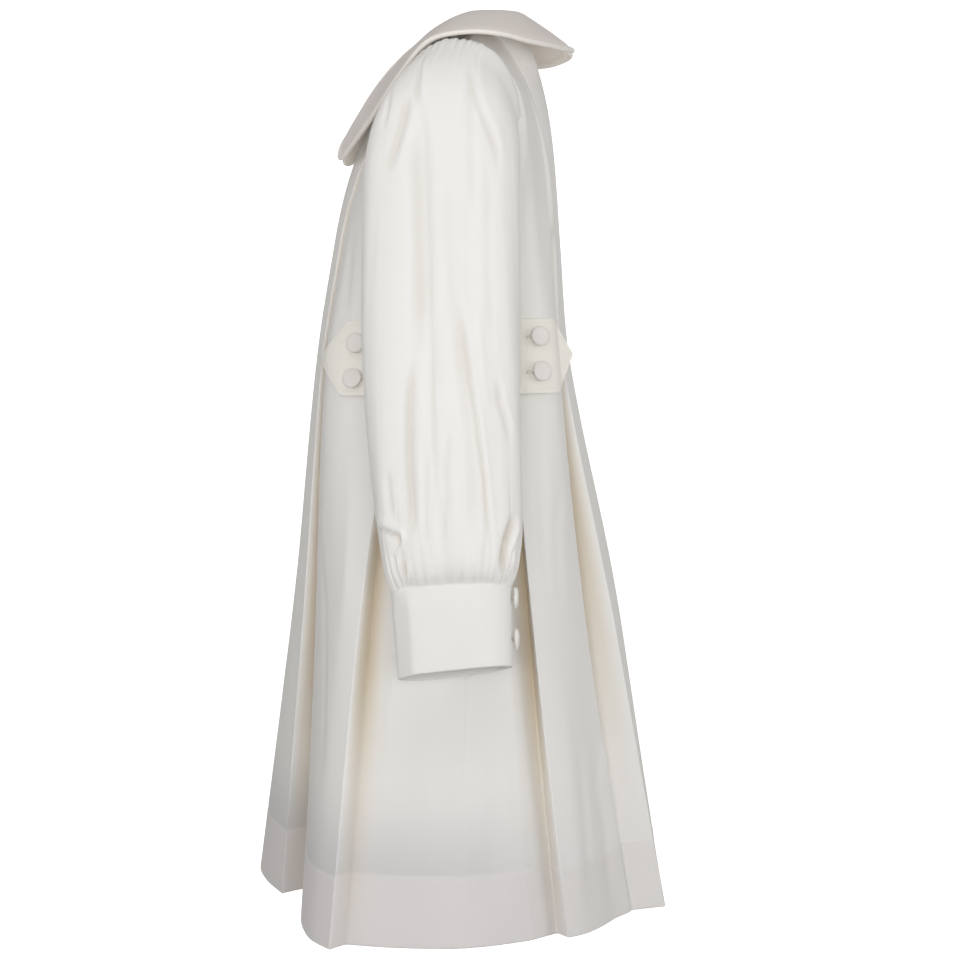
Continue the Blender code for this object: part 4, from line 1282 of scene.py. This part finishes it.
band = {
    "top": -307.0,
    "low": -381.0,
    "lift": 3.8,
    "cloth": 2.2,
    "frontPoint": 4,  # table places that each point takes, from its tip
    "backPoint": 3,
    "frontTrim": 5.0,  # how much sooner the front point ends
    "backTip": (118.0, 92.0),
    "backRise": 4.6,
    "columns": 130,
    "rows": 30,
    "waves": [(0.3, 30, 30, 2, 0)],
    "stitchLine": [(-0.3, 4.6, 1.1)],
    "stitchInset": 3.5,  # how far in from the grid's top and bottom rows
    "stitchWidth": 0.5,
    "stitchLength": 2.1,
    "stitchGap": 0.9,
    "cut": (0.31, 0.074),
    "cutArea": 0.021,
}


def bandColumns():
    # the panel rows that the band lies on, from its front point to its back one
    def fine(rows):
        return smoothRows(rows, np.linspace(0, len(rows) - 1, 2 * len(rows) - 1))
    front = np.concatenate([fine(frontPanels[2]), frontPanels[4][1:]])
    back = np.concatenate([fine(backPanels[2]), backPanels[4][1:-1]])
    return np.concatenate([front, back[::-1]])


def bandGrid():
    columns = bandColumns()
    middle = (band["low"] + band["top"]) / 2
    half = (band["top"] - band["low"]) / 2
    rim = band["cloth"] / 2  # what the half round edge adds
    line = lowerPlaces(columns, np.array([middle]))[0]
    # the back tip stands off the pleat
    off = np.array(band["backTip"]) - line[-1, :2]
    line[-1, :2] = band["backTip"]
    lengths = walked(line)
    total, trim = lengths[-1], band["frontTrim"]
    even = np.linspace(rim * 1.5 + trim, total - rim * 1.5, band["columns"])
    fine = smoothRows(columns, np.interp(even, lengths, np.arange(len(columns))))
    # straight sided points, and the whole band rises a little to the back
    back = np.interp(even, lengths, line[:, 1])
    front, rear = band["frontPoint"], -band["backPoint"]
    fromFront = (back - line[0, 1]) / (line[front, 1] - line[0, 1])
    fromFront = (fromFront + (even - trim) / (lengths[front] - trim)) / 2
    fromBack = (line[-1, 1] - back) / (line[-1, 1] - line[rear, 1])
    fromTip = np.clip(np.where(even > total / 2, np.minimum(fromBack, 1), np.minimum(fromFront, 1)), 0, 1)
    high = np.maximum(fromTip * half - rim, 0.5)
    centre = middle + band["backRise"] * even / total
    share = np.linspace(-1, 1, band["rows"])
    rows = [lowerPlaces(fine[c:c + 1], centre[c] + share * high[c])[:, 0] for c in range(len(even))]
    grid = np.stack(rows, axis=1)
    grid[..., :2] += ramp(even, lengths[-2], total)[None, :, None] * off
    return grid, high, even, centre


def bandStitches(side, grid, normals, high, even):
    # one row of stitches all round, just inside the edge
    inset = band["stitchInset"]
    columns = np.where((high > inset * 1.6) & (even > 5) & (even < even[-1] - 5))[0]
    margin = inset / np.maximum(high, inset * 1.2)
    order = columns if side == "left" else columns[::-1]
    share = np.linspace(-1, 1, band["rows"])
    picks = [(c, 1 - margin[c]) for c in order] + [(c, margin[c] - 1) for c in order[::-1]]
    picks.append(picks[0])
    mirror = np.array([1 if side == "left" else -1, 1, 1])
    line, lineNormals = [np.array([placeAt(part[:, c], share, where) for c, where in picks]) * mirror
                         for part in (grid, normals)]
    return stitchRun(f"band_{side}_stitching", line, lineNormals, band)


def makeBands():
    grid, high, even, centre = bandGrid()
    grid = grid + gridNormals(grid) * band["lift"]
    normals = gridNormals(grid)
    across = even[None, :] + np.zeros((band["rows"], 1))
    down = grid[..., 2] - band["low"]
    fromEdge = high + band["cloth"] / 2 - np.abs(grid[..., 2] - centre)
    for side, seed in (("left", 51), ("right", 57)):
        height = slowWaves(band["waves"], across, down, seed) + relief(fromEdge, band["stitchLine"])
        plain = grid + normals * height[..., None]
        made, layers = forSide(side, plain, {"grain": grainLayer(across, down)})
        nowNormals = forSide(side, normals, {})[0]
        piece = clothPiece(f"band_{side}", "band_cloth", made, band["cloth"], layers, rimSteps=5)
        sewn = [bandStitches(side, plain, normals, high, even)]
        for end, toward in (("front", 1), ("back", -1)):
            for number in (1, 2):
                sewn.append(makeButtonhole(f"{end}_{side}_{number}", made, nowNormals, toward))


makeBands()
print("bands made")

# the buttons themselves


def makeButtons():
    sides, gap = button["sides"], button["seatGap"]
    angles = 2 * np.pi * np.arange(sides) / sides
    rings = []
    for share, height in button["profile"]:
        tucks = button["tuckDepth"] * np.cos(angles * button["tucks"]) if 0.7 < share and height < 3 else 0
        radius, height = share * button["radius"] * (1 + tucks), height + gap + 0 * angles
        rings.append(np.stack([radius * np.cos(angles), radius * np.sin(angles), height], -1))
    ends = [[0, 0, button["profile"][0][1] + gap], [0, 0, button["top"] + gap]]
    points = np.concatenate(rings + [ends])
    near, top, last = np.arange(sides), (len(rings) - 1) * sides, len(points) - 1
    triangles = [(last - 1, (k + 1) % sides, k) for k in near]
    triangles += [(last, top + k, top + (k + 1) % sides) for k in near]
    for node in sorted(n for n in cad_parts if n.startswith("button_")):
        seat, normal = buttonPlace(node)
        turn = np.array(Vector(normal).to_track_quat("Z", "Y").to_matrix())
        placed = (points @ turn.T + seat) * mm
        quads = gridQuads(len(rings), sides, True)
        piece = meshObject(node + "_covered", placed, quads, {"grain": points * mm}, np.array(triangles))
        finishPiece(piece, node, "button_cloth")


makeButtons()
print("buttons made")
